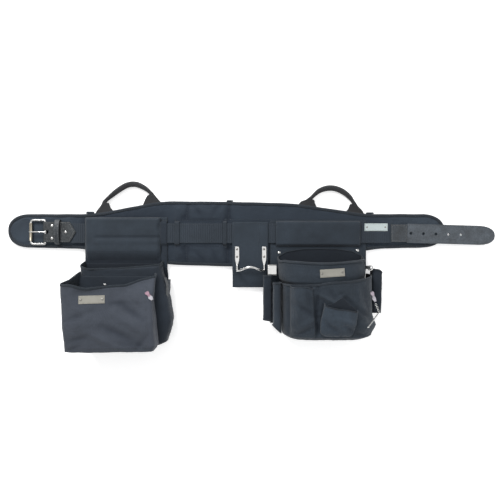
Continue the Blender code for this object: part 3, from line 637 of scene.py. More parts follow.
def bag_rings(rows, corner, steps, front, rim_from, rim_front, rim_back, base):
    """The sections of a pouch, closer together at its bottom, with its mouth lifted or lowered."""
    fine, back_count, corner_steps = 400, front // 2, 6
    first, last = rows[0][0], rows[-1][0]
    places = [first + corner * (1 - math.cos(math.pi / 2 * step / corner_steps))
              for step in range(corner_steps)]
    places += [mix(first + corner, last, step / steps) for step in range(steps + 1)]
    rings = []
    for y in places:
        row = [y, *along(rows, y)]
        depth = max(corner - (y - first), 0.0)
        inset = corner - math.sqrt(max(corner ** 2 - depth ** 2, 0.0))
        row[2] += inset
        row[3] -= inset
        row[5] = max(row[5] - inset, 0.3 * row[5])
        row[6] = max(row[6] - inset, 0.3 * row[6])
        rings.append(even_ring(bag_ring(row, fine, back_count), fine, front))
    for ring in rings:
        near_rim = blend_in(last - rim_from, last, ring[0].y if ring[0].y < last else last)
        low, high = ring[0].x, ring[front].x
        for column, point in enumerate(ring):
            table = rim_front if column <= front else rim_back
            if table and near_rim:
                point.y += along(table, (point.x - low) / (high - low))[0] * near_rim
            if base:
                point.z += base(point.x, point.y)
    return rings


def folded(rings, front, folds, push, spot):
    """A pouch's points with its front folded and pushed out, and how deep each one lies in a fold, for the
    painted shade in its creases.
    """
    points, depths = [], []
    for index, ring in enumerate(rings):
        above, below = rings[min(index + 1, len(rings) - 1)], rings[max(index - 1, 0)]
        for column, point in enumerate(ring):
            depths.append(0.0)
            if column > front:
                points.append(point)
                continue
            run = ring[min(column + 1, front)] - ring[max(column - 1, 0)]
            out = run.cross(above[column] - below[column]).normalized()
            hold = blend_in(0.0, 0.06, min(column, front - column) / front)
            fold = crease_depth(point.x, point.y, folds) * max(out.z, 0.0)
            # painted shade: deeper folds get a darker colour
            depths[-1] = hold * fold / BAG_SHADE_FOLD
            point = point + out * (push(point, out) - fold) * hold
            points.append(pressed(point, spot, *PLATE_REACH) if spot else point)
    return points, depths


def bag(name, rows, look, body, nodes, corner=0.008, folds=(), rough=0.0006, size=0.03, hem=0.0035,
        wall=0.0016, seed=0.0, shape=None, steps=72, front=110, cap=0.004, inside_shade_look="cloth_deep_shade", rim_front=(),
        rim_back=(), rim_from=0.03, whole_hem=True, base=None, held=None):
    """A sewn pouch lofted through rows, from its bottom to its mouth.

    A row is y of its back and front, left, right, height of its back, rise at its left and right, lean of its
    left side, and the powers that shape it: how square it is, how full, and how its mouth bows.
    rim_front and rim_back are rows of (share across, y) that lift or lower the mouth; base gives the height
    of the surface that it stands on; held names a plate that is fixed to its front.
    """
    rings = bag_rings(rows, corner, steps, front, rim_from, rim_front, rim_back, base)

    def push(point, out):
        return rough * ripple(point, size, seed) + (shape(point, out) if shape else 0.0)
    points, depths = folded(rings, front, folds, push, seat(held) if held else None)
    columns = len(rings[0])
    faces = grid_faces(len(rings), columns, wrap=True)
    close_end(points, faces, front, columns, cap)
    obj = piece(name, points, faces, look, body, nodes)
    paint_shade(obj, depths)
    # the pouch's inside gets a darker copy of the cloth, as painted shade
    obj.data.materials.append(looks[inside_shade_look])
    solidify(obj, wall)
    obj.modifiers[0].material_offset = 1
    rim_start = (len(rings) - 1) * columns
    rim = points[rim_start:rim_start + columns]
    if hem:
        line = [point.lerp(points[rim_start - columns + column], 0.5) for column, point in enumerate(rim)]
        if not whole_hem:
            line = line[:front + 1]
        made = tube(line, hem, 10, closed=whole_hem, flat=0.36, up=(-1, 0, 0.2))
        piece(name + "_binding", *made, "binding", body)
    return obj, rim


def paint_shade(obj, depths):
    """Stores how much painted shade darkens the cloth's colour at each point, from 0 to 1."""
    marks = obj.data.attributes.new("crease", "FLOAT", "POINT")
    values = [min(max(depth, 0.0), 1.0) for depth in depths]
    marks.data.foreach_set("value", values + [0.0] * (len(obj.data.vertices) - len(values)))


def panel(name, x_range, y_range, height, look, body, nodes=(), wall=0.0016, spacing=0.003):
    """A sheet of cloth over a rectangle, at a height for each place."""
    columns = max(int((x_range[1] - x_range[0]) / spacing), 4) + 1
    rows = max(int((y_range[1] - y_range[0]) / spacing), 4) + 1
    points = []
    for row in range(rows):
        y = mix(y_range[0], y_range[1], row / (rows - 1))
        for column in range(columns):
            x = mix(x_range[0], x_range[1], column / (columns - 1))
            points.append((x, y, height(x, y)))
    obj = piece(name, points, grid_faces(rows, columns), look, body, nodes)
    return solidify(obj, wall)


def oval(count, across_power, up_power):
    """Points round a rounded rectangle, as (across, up) from -1 to 1."""
    angles = [math.tau * (step + 0.5) / count for step in range(count)]
    return [(signed_power(math.cos(angle), across_power), signed_power(math.sin(angle), up_power))
            for angle in angles]


def ribbon(name, path, sides, half_width, half_thick, look, body, nodes=(), square=(0.3, 0.3), ribs=None,
           count=20, closed=False):
    """A flat strap swept along a path; sides gives the direction across it, and ribs its cross ridges."""
    points = []
    path = [Vector(point) for point in path]
    travelled = 0.0
    for index, centre in enumerate(path):
        before = path[index - 1] if index or closed else centre
        after = path[(index + 1) % len(path)] if index + 1 < len(path) or closed else centre
        travelled += (centre - before).length
        side = Vector(sides[index] if isinstance(sides, list) else sides).normalized()
        up = side.cross(after - before).normalized()
        width = half_width[index] if isinstance(half_width, list) else half_width
        thick = half_thick[index] if isinstance(half_thick, list) else half_thick
        for across, rise in oval(count, *square):
            rise *= thick
            if ribs:
                rise += math.copysign(ribs[1] * math.cos(math.tau * travelled / ribs[0]), rise)
            points.append(centre + side * (width * across) + up * rise)
    return piece(name, points, bar_faces(len(path), count, closed), look, body, nodes)


def ring_path(centre, radius, start, end, steps, plane="XZ"):
    made = []
    for step in range(steps + 1):
        angle = math.radians(start + (end - start) * step / steps)
        u, v = radius * math.cos(angle), radius * math.sin(angle)
        made.append(Vector(centre) + (Vector((u, 0, v)) if plane == "XZ" else Vector((u, v, 0))))
    return made


def lathe(profile, centre):
    """A closed profile of (radius, along Y) turned round an axis along Y."""
    steps = 48
    points = []
    for radius, y in profile:
        for step in range(steps):
            angle = math.tau * step / steps
            points.append(Vector(centre) + Vector((radius * math.cos(angle), y, radius * math.sin(angle))))
    return points, bar_faces(len(profile), steps, closed=True, flip=True)


def rivet(node, radius, look, body):
    """A domed head where the CAD has its rivet."""
    low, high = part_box(node)
    centre = ((low.x + high.x) / 2, (low.y + high.y) / 2, low.z)
    piece(node + "_head", *dome(centre, radius, high.z - low.z), look, body, (node,))


# ---------------------------------------------------------------- the back support

def edge_y(edge, x):
    for (x0, y0), (x1, y1) in zip(edge, edge[1:]):
        if x0 <= x <= x1:
            return mix(y0, y1, (x - x0) / (x1 - x0))
    return edge[0][1] if x < edge[0][0] else edge[-1][1]


def pad_limits(x, inset):
    """Lowest and highest Y of the support at x, drawn in by inset."""
    top, bottom = edge_y(PAD_TOP_EDGE, x), edge_y(PAD_BOTTOM_EDGE, x)
    middle, half = (top + bottom) / 2, (top - bottom) / 2
    beyond = max((PAD_LEFT - x) / (PAD_LEFT_REACH - inset), (x - PAD_RIGHT) / (PAD_RIGHT_REACH - inset), 0.0)
    reach = math.sqrt(max(1 - min(beyond, 1.0) ** 2.3, 0.0))
    return middle - max(half * reach - inset, 0.0004), middle + max(half * reach - inset, 0.0004)


def smoothed(edge):
    """Corner points of an edge with each corner rounded by extra points."""
    made = [edge[0]]
    for before, here, after in zip(edge, edge[1:], edge[2:]):
        start = tuple(mix(here[axis], before[axis], 0.18) for axis in (0, 1))
        end = tuple(mix(here[axis], after[axis], 0.18) for axis in (0, 1))
        for step in range(7):
            t = step / 6
            made.append(tuple((1 - t) ** 2 * start[axis] + 2 * t * (1 - t) * here[axis] + t * t * end[axis]
                              for axis in (0, 1)))
    return made + [edge[-1]]


def pad_room(x, y):
    """How high the support may stand at a place, under what slides over it."""
    under_left = blend_in(-0.404, -0.39, x) * (1 - blend_in(-0.143, -0.131, x))
    under_right = blend_in(-0.02, -0.008, x) * (1 - blend_in(0.372, 0.384, x))
    under_buckle = 1 - blend_in(-0.42, -0.404, x)
    under_web = 1 - blend_in(0.026, 0.032, abs(y))
    free = 0.0185 - 0.0063 * max(under_left, under_right)
    free -= 0.004 * under_web * (1 - max(under_left, under_right))
    return min(free, 0.0118 + 0.003 * (1 - under_buckle) if abs(y) < 0.036 else free)


def pad_shade(x, y):
    """How much darker the support's colour is at a spot: darker over its middle span than at its two ends,
    with painted shade around the left flap.
    """
    middle_span = blend_in(-0.42, -0.37, x) * (1 - blend_in(0.37, 0.43, x))
    flap_shadow_gap = math.hypot(max(-0.37 - x, x + 0.1765, 0.0), max(y - 0.0405, 0.0))
    return 0.58 * middle_span + 0.35 * bell(flap_shadow_gap, 0.02)


def pad_quilt(x, y):
    """How far the seams and tacks draw the support in."""
    quilt = crease_depth(x, y, PAD_SEAMS)
    for spot_x, spot_y in PAD_TACKS:
        quilt += 0.0045 * bell(math.hypot((x - spot_x) * 0.7, y - spot_y), 0.007)
    return quilt


def pad_swell(x, y, low, high):
    """The plump, quilted top of the support."""
    from_edge = min(y - low, high - y)
    rise = 0.0028 * (1 - math.exp(-max(from_edge, 0.0) / 0.006))
    quilt = pad_quilt(x, y)
    free = blend_in(-0.15, -0.135, x) * (1 - blend_in(-0.012, 0.004, x))
    ends = blend_in(0.372, 0.39, x) + (1 - blend_in(-0.412, -0.396, x))
    puff = 0.0042 * free * blend_in(0.0, 0.02, from_edge) + 0.0022 * ends * blend_in(0.0, 0.02, from_edge)
    wrinkle = 0.0019 * ripple((x, y, 0.0), 0.024) * blend_in(0.0, 0.008, from_edge)
    return min(0.0092 + rise - quilt + puff + wrinkle, pad_room(x, y))


PAD_TACKS = [(-0.115, 0.039), (-0.115, -0.04), (-0.004, 0.0385), (-0.006, -0.04)]
PAD_SEAMS = ((-0.112, 0.036, -0.107, 0.074, 0.005, 0.0034), (-0.113, -0.036, -0.11, -0.076, 0.005, 0.0034),
             (-0.004, 0.036, -0.002, 0.074, 0.005, 0.0034), (-0.005, -0.036, -0.006, -0.078, 0.005, 0.0034),
             (-0.145, 0.0335, -0.012, 0.0335, 0.003, 0.0026), (-0.145, -0.033, -0.012, -0.033, 0.003, 0.0026),
             (-0.09, 0.07, -0.07, 0.042, 0.006, 0.002), (-0.048, 0.044, -0.03, 0.07, 0.006, 0.0018),
             (-0.1, -0.044, -0.13, -0.068, 0.006, 0.002), (-0.088, -0.046, -0.064, -0.074, 0.006, 0.002),
             (-0.045, -0.044, -0.03, -0.072, 0.006, 0.0016), (-0.535, 0.028, -0.4, 0.033, 0.006, 0.0016),
             (-0.535, -0.024, -0.4, -0.03, 0.006, 0.0016), (0.38, 0.034, 0.48, 0.031, 0.006, 0.0014))


def pad_columns():
    """X of each row of points across the support, closer together at its two ends."""
    left, right = PAD_LEFT - PAD_LEFT_REACH + 0.0052, PAD_RIGHT + PAD_RIGHT_REACH - 0.0052
    nose, nose_steps, steps = 0.008, 9, 250
    closer = [nose * (1 - math.cos(math.pi / 2 * step / nose_steps)) for step in range(nose_steps)]
    xs = [left + offset for offset in closer]
    xs += [mix(left + nose, right - nose, step / steps) for step in range(steps + 1)]
    return xs + [right - offset for offset in reversed(closer)]


def make_pad():
    across = 46
    tops, bottoms = [], []
    for x in pad_columns():
        low, high = pad_limits(x, PAD_INSET)
        for step in range(across + 1):
            share = (1 - math.cos(math.pi * step / across)) / 2
            share = mix(share, step / across, 0.6)
            y = mix(low, high, share)
            tops.append(Vector((x, y, pad_swell(x, y, low, high))))
            depth = min(y - low, high - y)
            bottoms.append(Vector((x, y, 0.001 + (PAD_MIDDLE - 0.001) * math.exp(-depth / 0.0025))))
    rows, columns = len(pad_columns()), across + 1
    count = rows * columns
    faces = grid_faces(rows, columns, flip=True)
    faces += [tuple(corner + count for corner in face[::-1]) for face in grid_faces(rows, columns, flip=True)]
    border = [row * columns for row in range(rows)]
    border += [(rows - 1) * columns + column for column in range(1, columns)]
    border += [row * columns + columns - 1 for row in reversed(range(rows - 1))]
    border += [column for column in reversed(range(1, columns - 1))]
    for first, second in zip(border, border[1:] + border[:1]):
        faces.append((first, second, second + count, first + count))
    data_points = tops + bottoms
    pad = piece("back_support", data_points, faces, "cloth_light", "belt",
                ("pad_lining", "pad_core", "pad_front_cover"))
    # painted shade in the quilt's seams and tacks and around the left flap, and a darker middle span
    paint_shade(pad, [pad_quilt(point.x, point.y) / PAD_SHADE_FOLD + pad_shade(point.x, point.y)
                       for point in tops])
    settle_pad(pad, count)
    make_pad_binding()
    sew_pad(pad)
    return pad


def filled_pad(mesh, count):
    """Where cloth simulation moves the cover's points, held at its edge, its underside and its tacks."""
    last_frame = 14
    trial = bpy.data.objects.new("pad_trial", mesh.copy())
    bpy.context.scene.collection.objects.link(trial)
    held = trial.vertex_groups.new(name="held")
    for index, vertex in enumerate(mesh.vertices):
        point = vertex.co
        low, high = pad_limits(point.x, PAD_INSET)
        from_edge = min(point.y - low, high - point.y)
        at_tack = max(bell(math.hypot(point.x - x, point.y - y), 0.006) for x, y in PAD_TACKS)
        hold = 1.0 if index >= count or from_edge < 0.002 else at_tack
        if hold > 0.05:
            held.add([index], hold, "REPLACE")
    cloth = trial.modifiers.new("cloth", "CLOTH")
    for key, value in (("vertex_group_mass", "held"), ("quality", 5), ("tension_stiffness", 12),
                       ("bending_stiffness", 0.5), ("use_pressure", True), ("uniform_pressure_force", 2.0)):
        setattr(cloth.settings, key, value)
    cloth.settings.effector_weights.gravity = 0.0
    cloth.collision_settings.use_collision = False
    cloth.point_cache.frame_start, cloth.point_cache.frame_end = 1, last_frame
    for number in range(1, last_frame + 1):
        bpy.context.scene.frame_set(number)
    shown = trial.evaluated_get(bpy.context.evaluated_depsgraph_get())
    filled = [vertex.co.copy() for vertex in shown.data.vertices]
    bpy.data.objects.remove(trial)
    bpy.context.scene.frame_set(1)
    return filled


def settle_pad(pad, count):
    """Fills the quilted cover a little; its first count points are its top."""
    most = 0.0022
    filled = filled_pad(pad.data, count)
    for vertex, place in zip(pad.data.vertices[:count], filled):
        moved = place - vertex.co
        if moved.length > most:
            moved *= most / moved.length
        place = vertex.co + moved
        place.z = min(place.z, pad_room(place.x, place.y))
        vertex.co = place
    pad.data.update()


def sew_pad(pad):
    """The rows sewn through the support along the webbing and down its channels."""
    tree = surface_of(pad)
    sew("belt", [(-0.14, 0.0335, 0), (-0.014, 0.0335, 0)], [(-0.14, -0.033, 0), (-0.014, -0.033, 0)],
        [(-0.006, 0.0355, 0), (0.386, 0.035, 0)], [(-0.39, 0.043, 0), (-0.34, 0.043, 0)],
        [(-0.112, 0.036, 0), (-0.107, 0.072, 0)], [(-0.113, -0.036, 0), (-0.11, -0.073, 0)],
        [(-0.004, 0.036, 0), (-0.002, 0.072, 0)], [(-0.005, -0.036, 0), (-0.006, -0.075, 0)], tree=tree)


def make_pad_binding():
    """The tape folded over the support's edge."""
    top, bottom = smoothed(PAD_TOP_EDGE), smoothed(PAD_BOTTOM_EDGE)
    steps, roundness = 26, 0.87
    y_top, y_bottom = PAD_TOP_EDGE[0][1], PAD_BOTTOM_EDGE[0][1]
    middle, half = (y_top + y_bottom) / 2, (y_top - y_bottom) / 2

    def round_end(x, reach, first):
        angles = [first - math.pi * step / steps for step in range(1, steps)]
        return [(x + reach * abs(math.cos(angle)) ** roundness,
                 middle + half * signed_power(math.sin(angle), roundness)) for angle in angles]
    outline = top + round_end(PAD_RIGHT, PAD_RIGHT_REACH, math.pi / 2) + bottom[::-1]
    outline += round_end(PAD_LEFT, -PAD_LEFT_REACH, -math.pi / 2)
    fine = []
    for (x0, y0), (x1, y1) in zip(outline, outline[1:] + outline[:1]):
        count = max(int(math.hypot(x1 - x0, y1 - y0) / 0.006), 1)
        fine += [(mix(x0, x1, index / count), mix(y0, y1, index / count)) for index in range(count)]
    section = [(0.0082, 0.0106), (0.0078, 0.0116), (0.004, 0.0119), (0.0016, 0.011), (0.0003, 0.009),
               (0.0, 0.006), (0.0003, 0.003), (0.0016, 0.0008), (0.004, 0.0002), (0.0078, 0.0003),
               (0.0082, 0.0012), (0.007, 0.0055)]
    points = []
    count = len(fine)
    stitch_line = []
    for index, (x, y) in enumerate(fine):
        x0, y0 = fine[index - 2]
        x1, y1 = fine[(index + 2) % count]
        run = Vector((x1 - x0, y1 - y0, 0)).normalized()
        inward = Vector((run.y, -run.x, 0))
        uneven = noise.noise(Vector((x * 28, y * 28, 3.0)))
        wave = 0.0007 * uneven
        for depth, z in section:
            points.append(Vector((x, y, z + 0.0005 * uneven * (z > 0.008))) + inward * (depth + wave))
        stitch_line.append(Vector((x, y, 0.0121)) + inward * (0.0066 + wave))
    faces = bar_faces(count, len(section), closed=True)
    piece("support_binding", points, faces, "binding", "belt", ("pad_binding",))
    sew("belt", stitch_line + stitch_line[:1], pitch=0.0045)


# ---------------------------------------------------------------- the waist webbing and the buckle

def make_webbing():
    path = straight((-0.464, 0, WEB_MIDDLE), (0.416, 0, WEB_MIDDLE), 0.0014)
    ribbon("webbing_strap", path, (0, 1, 0), 0.0254, 0.00155, "webbing", "belt", ("waist_webbing",),
           square=(0.16, 0.16), ribs=(0.0056, 0.00034), count=26)
    for y in (-0.0228, 0.0228):
        sew("belt", straight((-0.4, y, WEB_TOP + 0.0002), (0.405, y, WEB_TOP + 0.0002), 0.1))
    for node, x_low, x_high in (("belt_loop_left", -0.141, -0.129), ("belt_loop_centre", -0.018, -0.008)):
        middle = (x_low + x_high) / 2
        top = WEB_TOP + 0.0018
        rim = [(0.0305, 0.0128), (0.0298, 0.016), (0.0275, 0.0192), (0.0235, top)]
        route = [(middle, -y, z) for y, z in rim] + [(middle, 0.0, top + 0.0002)]
        route += [(middle, y, z) for y, z in reversed(rim)]
        ribbon(node + "_tape", smooth_path(route, 6), (1, 0, 0), (x_high - x_low) / 2, 0.0008, "webbing_fine",
               "belt", (node,), ribs=(0.0024, 0.00008))
        for side in (-1, 1):
            foot = [(middle, 0.03 * side, 0.0126), (middle, 0.035 * side, 0.0131),
                    (middle, 0.0375 * side, 0.0128)]
            ribbon(f"{node}_foot_{'low' if side < 0 else 'high'}", smooth_path(foot, 5), (1, 0, 0),
                   (x_high - x_low) / 2, 0.0008, "webbing_fine", "belt")
            sew("belt", [(x_low + 0.001, 0.0345 * side, 0.0141), (x_high - 0.001, 0.0345 * side, 0.0141)],
                pitch=0.003)
    for node in ("suspender_tab_left", "suspender_tab_centre", "suspender_tab_right"):
        low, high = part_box(node)
        middle = (low.x + high.x) / 2
        route = [(middle, low.y, 0.0024), (middle, high.y - 0.0016, 0.0024), (middle, high.y - 0.0006, 0.006),
                 (middle, high.y - 0.0016, 0.0096), (middle, low.y - 0.0004, 0.0098)]
        ribbon(node + "_fold", smooth_path(route, 5), (1, 0, 0), (high.x - low.x) / 2, 0.0009, "webbing_fine",
               "belt", (node,), ribs=(0.0022, 0.00008))
    label = show_as("blank_label", "label")
    low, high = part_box("blank_label")
    z = high.z + 0.0001
    sew("belt", frame_line(low, high, 0.0016, z), pitch=0.0024)
    for number, x in enumerate((low.x + 0.0062, high.x - 0.0062)):
        piece(f"label_stud_{number + 1}", *dome((x, (low.y + high.y) / 2, z), 0.0021, 0.0007), "stud", "belt")


def make_buckle():
    soft_edges(show_as("buckle_chape", "leather"), 0.0006)
    bar_x, bar_z, rise = -0.472, 0.018, 0.003
    half = 0.0236
    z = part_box("buckle_chape")[1].z + 0.0001
    line = [(-0.4605, rise + half, z), (-0.4095, rise + half, z), (-0.3975, rise, z),
            (-0.4095, rise - half, z), (-0.4605, rise - half, z)]
    sew("belt", line, thread="thread_pale", radius=0.0004)
    for node in ("chape_rivet_upper", "chape_rivet_lower"):
        rivet(node, 0.0037, "nickel", "belt")
    rivet("chape_tip_rivet", 0.0035, "nickel", "belt")

    left, right, half = -0.5085, bar_x, 0.03025
    corners = [(left + 0.0065, half - 0.0065, 0.0065, 180), (right - 0.004, half - 0.004, 0.004, 90),
               (right - 0.004, 0.004 - half, 0.004, 0), (left + 0.0065, 0.0065 - half, 0.0065, -90)]
    route = []
    for x, y, radius, start in corners:
        route += ring_path((x, y + rise, bar_z), radius, start, start - 90, 8, "XY")
    fine = divided(route + route[:1], 0.002)[:-1]
    piece("buckle_wire", *tube(fine, 0.00275, 20, closed=True), "nickel", "buckle", ("buckle_frame",))

    outer, bore, length = 0.0042, 0.0031, 0.0228
    profile = [(bore, -length), (outer - 0.0004, -length), (outer, -length + 0.0004),
               (outer, -length + 0.0012), (outer - 0.00015, -length + 0.0014),
               (outer - 0.00015, length - 0.0014), (outer, length - 0.0012), (outer, length - 0.0004),
               (outer - 0.0004, length), (bore, length)]
    roller = piece("roller_tube", *lathe(profile, (left, rise, bar_z)), "warm_nickel", "roller",
                   ("buckle_roller",))
    soft_edges(roller, 0.0002, 2, 50)

    eye = ring_path((bar_x, rise, bar_z), 0.0031 + 0.0013, -200, 70, 20)
    rest_z = bar_z + outer + 0.0013 + 0.0004
    shank = [(bar_x - 0.006, rise, rest_z - 0.0004), (bar_x - 0.014, rise, rest_z + 0.0005),
             (bar_x - 0.026, rise, rest_z + 0.0003), (left + 0.001, rise, rest_z),
             (left - 0.0036, rise, rest_z - 0.0008)]
    route = [tuple(point) for point in eye] + shank
    route = smooth_path(route, 3)
    radii = [0.00125 + 0.0003 * blend_in(0.3, 0.6, index / len(route)) for index in range(len(route))]
    for index in range(1, 5):
        radii[-index] *= math.sin(math.pi / 2 * (index + 0.4) / 5)
    piece("prong_bar", *tube(route, radii, 14), "nickel", "prong", ("buckle_prong",))


def make_keeper():
    """A wide leather loop with stitched edges."""
    half, low = 0.0315, 0.0124
    rise, crown, thin = 0.0205, 0.03, 0.002
    middle = thin / 2
    route = [(half * 0.8, low + middle), (half - 0.0022, low + middle), (half - middle, low + 0.0032),
             (half - middle, rise - 0.002)]
    for step in range(1, 24):
        angle = math.pi * step / 24
        route.append(((half - middle) * math.cos(angle), rise + (crown - rise - middle) * math.sin(angle)))
    route += [(-half + middle, rise - 0.002), (-half + middle, low + 0.0032), (-half + 0.0022, low + middle),
              (-half * 0.8, low + middle), (0.0, low + middle)]
    path = smooth_path([(-0.4395, y + 0.003, z) for y, z in route], 3, closed=True)
    ribbon("keeper_band", path, (1, 0, 0), 0.0065, middle, "leather_dark", "keeper", ("keeper_loop",),
           square=(0.35, 0.5), count=16, closed=True)
    for x in (-0.444, -0.435):
        rows = [(x, y + 0.003, z + 0.0012) for y, z in route[4:27]]
        sew("keeper", rows, thread="thread_pale", pitch=0.0036)


def make_tongue():
    # the tongue takes the leather with its reflection painted in
    soft_edges(show_as("tongue_strap", "leather_painted_reflection"), 0.0007, angle=50)
    soft_edges(show_as("tongue_anchor_patch", "leather_dark"), 0.0004)
    low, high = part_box("tongue_anchor_patch")
    sew("belt", frame_line(low, high, 0.0025, high.z + 0.0001), thread="thread_pale", pitch=0.0036)
    root, length, half, taper, inner = 0.454, 0.225, 0.0245, 0.039, 0.0026
    turn = Matrix.Rotation(-0.03, 4, "Z")
    line = []
    for side in (1, -1):
        part = [(0.004, (half - inner) * side), (length - taper, (half - inner) * side)]
        for step in range(1, 10):
            angle = math.pi / 2 * step / 9
            part.append((length - taper + (taper - inner * 1.3) * math.sin(angle),
                         (half - inner) * side * math.cos(angle) ** 0.85))
        line.append(part)
    loop = line[0] + line[1][::-1]
    placed = [turn @ Vector((x, y, 0)) + Vector((root, 0, WEB_TOP - 0.0002)) for x, y in loop]
    sew("tongue", placed, radius=0.0004)
    for step in range(5):
        spot = turn @ Vector((0.01 + 0.032 * step, 0, 0)) + Vector((root, 0, 0.0165))
        ring = ring_path(spot, 0.0035, 0, 345, 23, "XY")
        ring = [point + Vector((0, 0, 0.0015)) for point in ring]
        piece(f"tongue_hole_edge_{step + 1}", *tube(ring, 0.00045, 8, closed=True), "leather_dark", "tongue")


# ---------------------------------------------------------------- handles

def make_handle(node, name, feet, grip, body):
    """Webbing folded round and sewn into a grip, which opens flat at both feet."""
    roots = [Vector((x, edge_y(PAD_TOP_EDGE, x), 0.0074)) for x in feet]
    along_edge = (roots[1] - roots[0]).normalized()
    out = Vector((-along_edge.y, along_edge.x, 0.0))
    route = [roots[0] - out * 0.003, roots[0] + out * 0.0075, roots[0].lerp(Vector((*grip[0], 0.0074)), 0.75)]
    route += [Vector((*point, 0.0074)) for point in grip]
    route += [roots[1].lerp(Vector((*grip[-1], 0.0074)), 0.75), roots[1] + out * 0.0075,
              roots[1] - out * 0.003]
    last = len(grip) + 5
    widths = {0: (0.025, 0.0016, 0.3), 1: (0.0182, 0.002, 0.4), 2: (0.0098, 0.0042, 0.8),
              3: (0.0048, 0.0058, 1.0), 4: (0.0062, 0.0066, 1.0)}
    stations = [widths.get(min(index, last - index), (0.0072, 0.007, 1.0)) for index in range(last + 1)]
    sides = []
    for index in range(last + 1):
        if index < 3:
            sides.append(-along_edge)
        elif index > last - 3:
            sides.append(along_edge)
        else:
            run = (route[index + 1] - route[index - 1]).normalized()
            sides.append(Vector((-run.y, run.x, 0)))
    steps = 7
    path = smooth_path(route, steps)
    across = smooth_path(sides, steps)
    sizes = smooth_path(stations, steps)
    points, count = [], 28
    for index, centre in enumerate(path):
        half_width, half_thick, square = sizes[index]
        side = across[index].normalized()
        grain = 1 + 0.02 * noise.noise(centre * 160)
        for step in range(count):
            angle = math.tau * (step + 0.5) / count
            seam = 1 - 0.1 * bell(angle - 1.9, 0.14) - 0.08 * bell(angle - 5.0, 0.14)
            points.append(centre + side * half_width * grain * seam * signed_power(math.cos(angle), square)
                          + Vector((0, 0, half_thick * grain * seam * signed_power(math.sin(angle), square))))
    made = piece(name, points, bar_faces(len(path), count), "handle", None, (node,))
    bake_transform(made)
    line = []
    for index in range(2 * steps, len(path) - 2 * steps):
        half_width, half_thick, _ = sizes[index]
        angle = 1.35
        line.append(path[index] + across[index].normalized() * half_width * math.cos(angle)
                    + Vector((0, 0, half_thick * math.sin(angle) + 0.0002)))
    sew(body, line)


LEFT_GRIP = [(-0.3214, 0.0836), (-0.3033, 0.0996), (-0.2852, 0.1133), (-0.2632, 0.1252), (-0.2413, 0.1263),
             (-0.2204, 0.1172), (-0.2051, 0.1048)]
RIGHT_GRIP = [(0.2109, 0.0921), (0.2298, 0.109), (0.251, 0.1164), (0.2716, 0.1159), (0.2923, 0.1074),
              (0.3083, 0.0945), (0.319, 0.08)]


# ---------------------------------------------------------------- the left pouch

# the height at which the left pouch's rear bag ends and its front bag starts
LEFT_LAYER = 0.06


def sink(y):
    """How far the hanging layers drop below the support's lower edge."""
    return 0.0124 * (1 - blend_in(-0.113, -0.088, y))


def left_tunnel_height(x, y):
    """The flap over the webbing: a pillow with a soft crease, tucked in towards the mouth."""
    edge = min(blend_in(-0.37, -0.362, x), 1 - blend_in(-0.186, -0.1765, x), 1 - blend_in(0.034, 0.0405, y))
    tuck = 1 - blend_in(-0.082, -0.04, y)
    crease = blend_in(-0.35, -0.33, x)
    z = 0.0186 + 0.0072 * edge ** 0.6 - 0.0118 * tuck
    z -= 0.0022 * bell(y + 0.0105, 0.004) * crease - 0.0012 * bell(y + 0.0215, 0.006) * crease
    z -= 0.0035 * bell(math.hypot((x + 0.18) * 1.4, y - 0.012), 0.01)
    return max(z + 0.0006 * ripple((x, y, 0.1), 0.026), 0.0189 if abs(y) < 0.027 else 0.016)


def right_tunnel_height(x, y):
    """The flap over the webbing, turned down to the layer behind at both edges."""
    over = (1 - blend_in(0.0265, 0.0325, y)) * blend_in(-0.034, -0.0275, y)
    side = min(blend_in(0.118, 0.124, x), 1 - blend_in(0.328, 0.334, x))
    return 0.0163 + 0.0058 * over + 0.001 * over * side + 0.0006 * ripple((x, y, 0.1), 0.026) * over


def make_left_pouch():
    body = "left_pouch"
    panel("left_back_sheet", (-0.371, -0.16), (-0.276, 0.0415), lambda x, y: BACK_TOP - sink(y) - 0.0001
          + 0.0001 * ripple((x, y, 2), 0.03), "cloth", body, ("left_back_panel",))
    tunnel = panel("left_tunnel_cover", (-0.37, -0.1765), (-0.08, 0.0405), left_tunnel_height,
                   "cloth", body, ("left_tunnel_panel",), spacing=0.0024)
    # painted shade: the flap darkens towards its lower edge, where it tucks into the rear pouch's mouth, and
    # along its crease
    paint_shade(tunnel, [(1 - blend_in(-0.08, -0.036, vertex.co.y)) + 0.5 * bell(vertex.co.y + 0.0105, 0.003)
                          * blend_in(-0.35, -0.33, vertex.co.x) for vertex in tunnel.data.vertices])
    panel("left_tunnel_strip", (-0.178, -0.1605), (-0.272, 0.034),
          lambda x, y: 0.015 - sink(y) + (0.0048 * blend_in(0.0335, 0.026, abs(y)))
          + 0.0002 * ripple((x, y, 5), 0.02), "cloth_shade", body)
    make_left_rear_bag(body)
    make_left_front_bag(body)
    make_left_side_bag(body)
    make_plate("left_name_plate", "left_plate_rivet", body)
    make_tag("left_woven_tag", "tag_left", body)
    rivet("left_pouch_rivet", 0.0032, "nickel", body)
    sew(body, straight((-0.368, 0.0378, 0.0205), (-0.18, 0.0378, 0.0205), 0.01), tree=surface_of(tunnel))


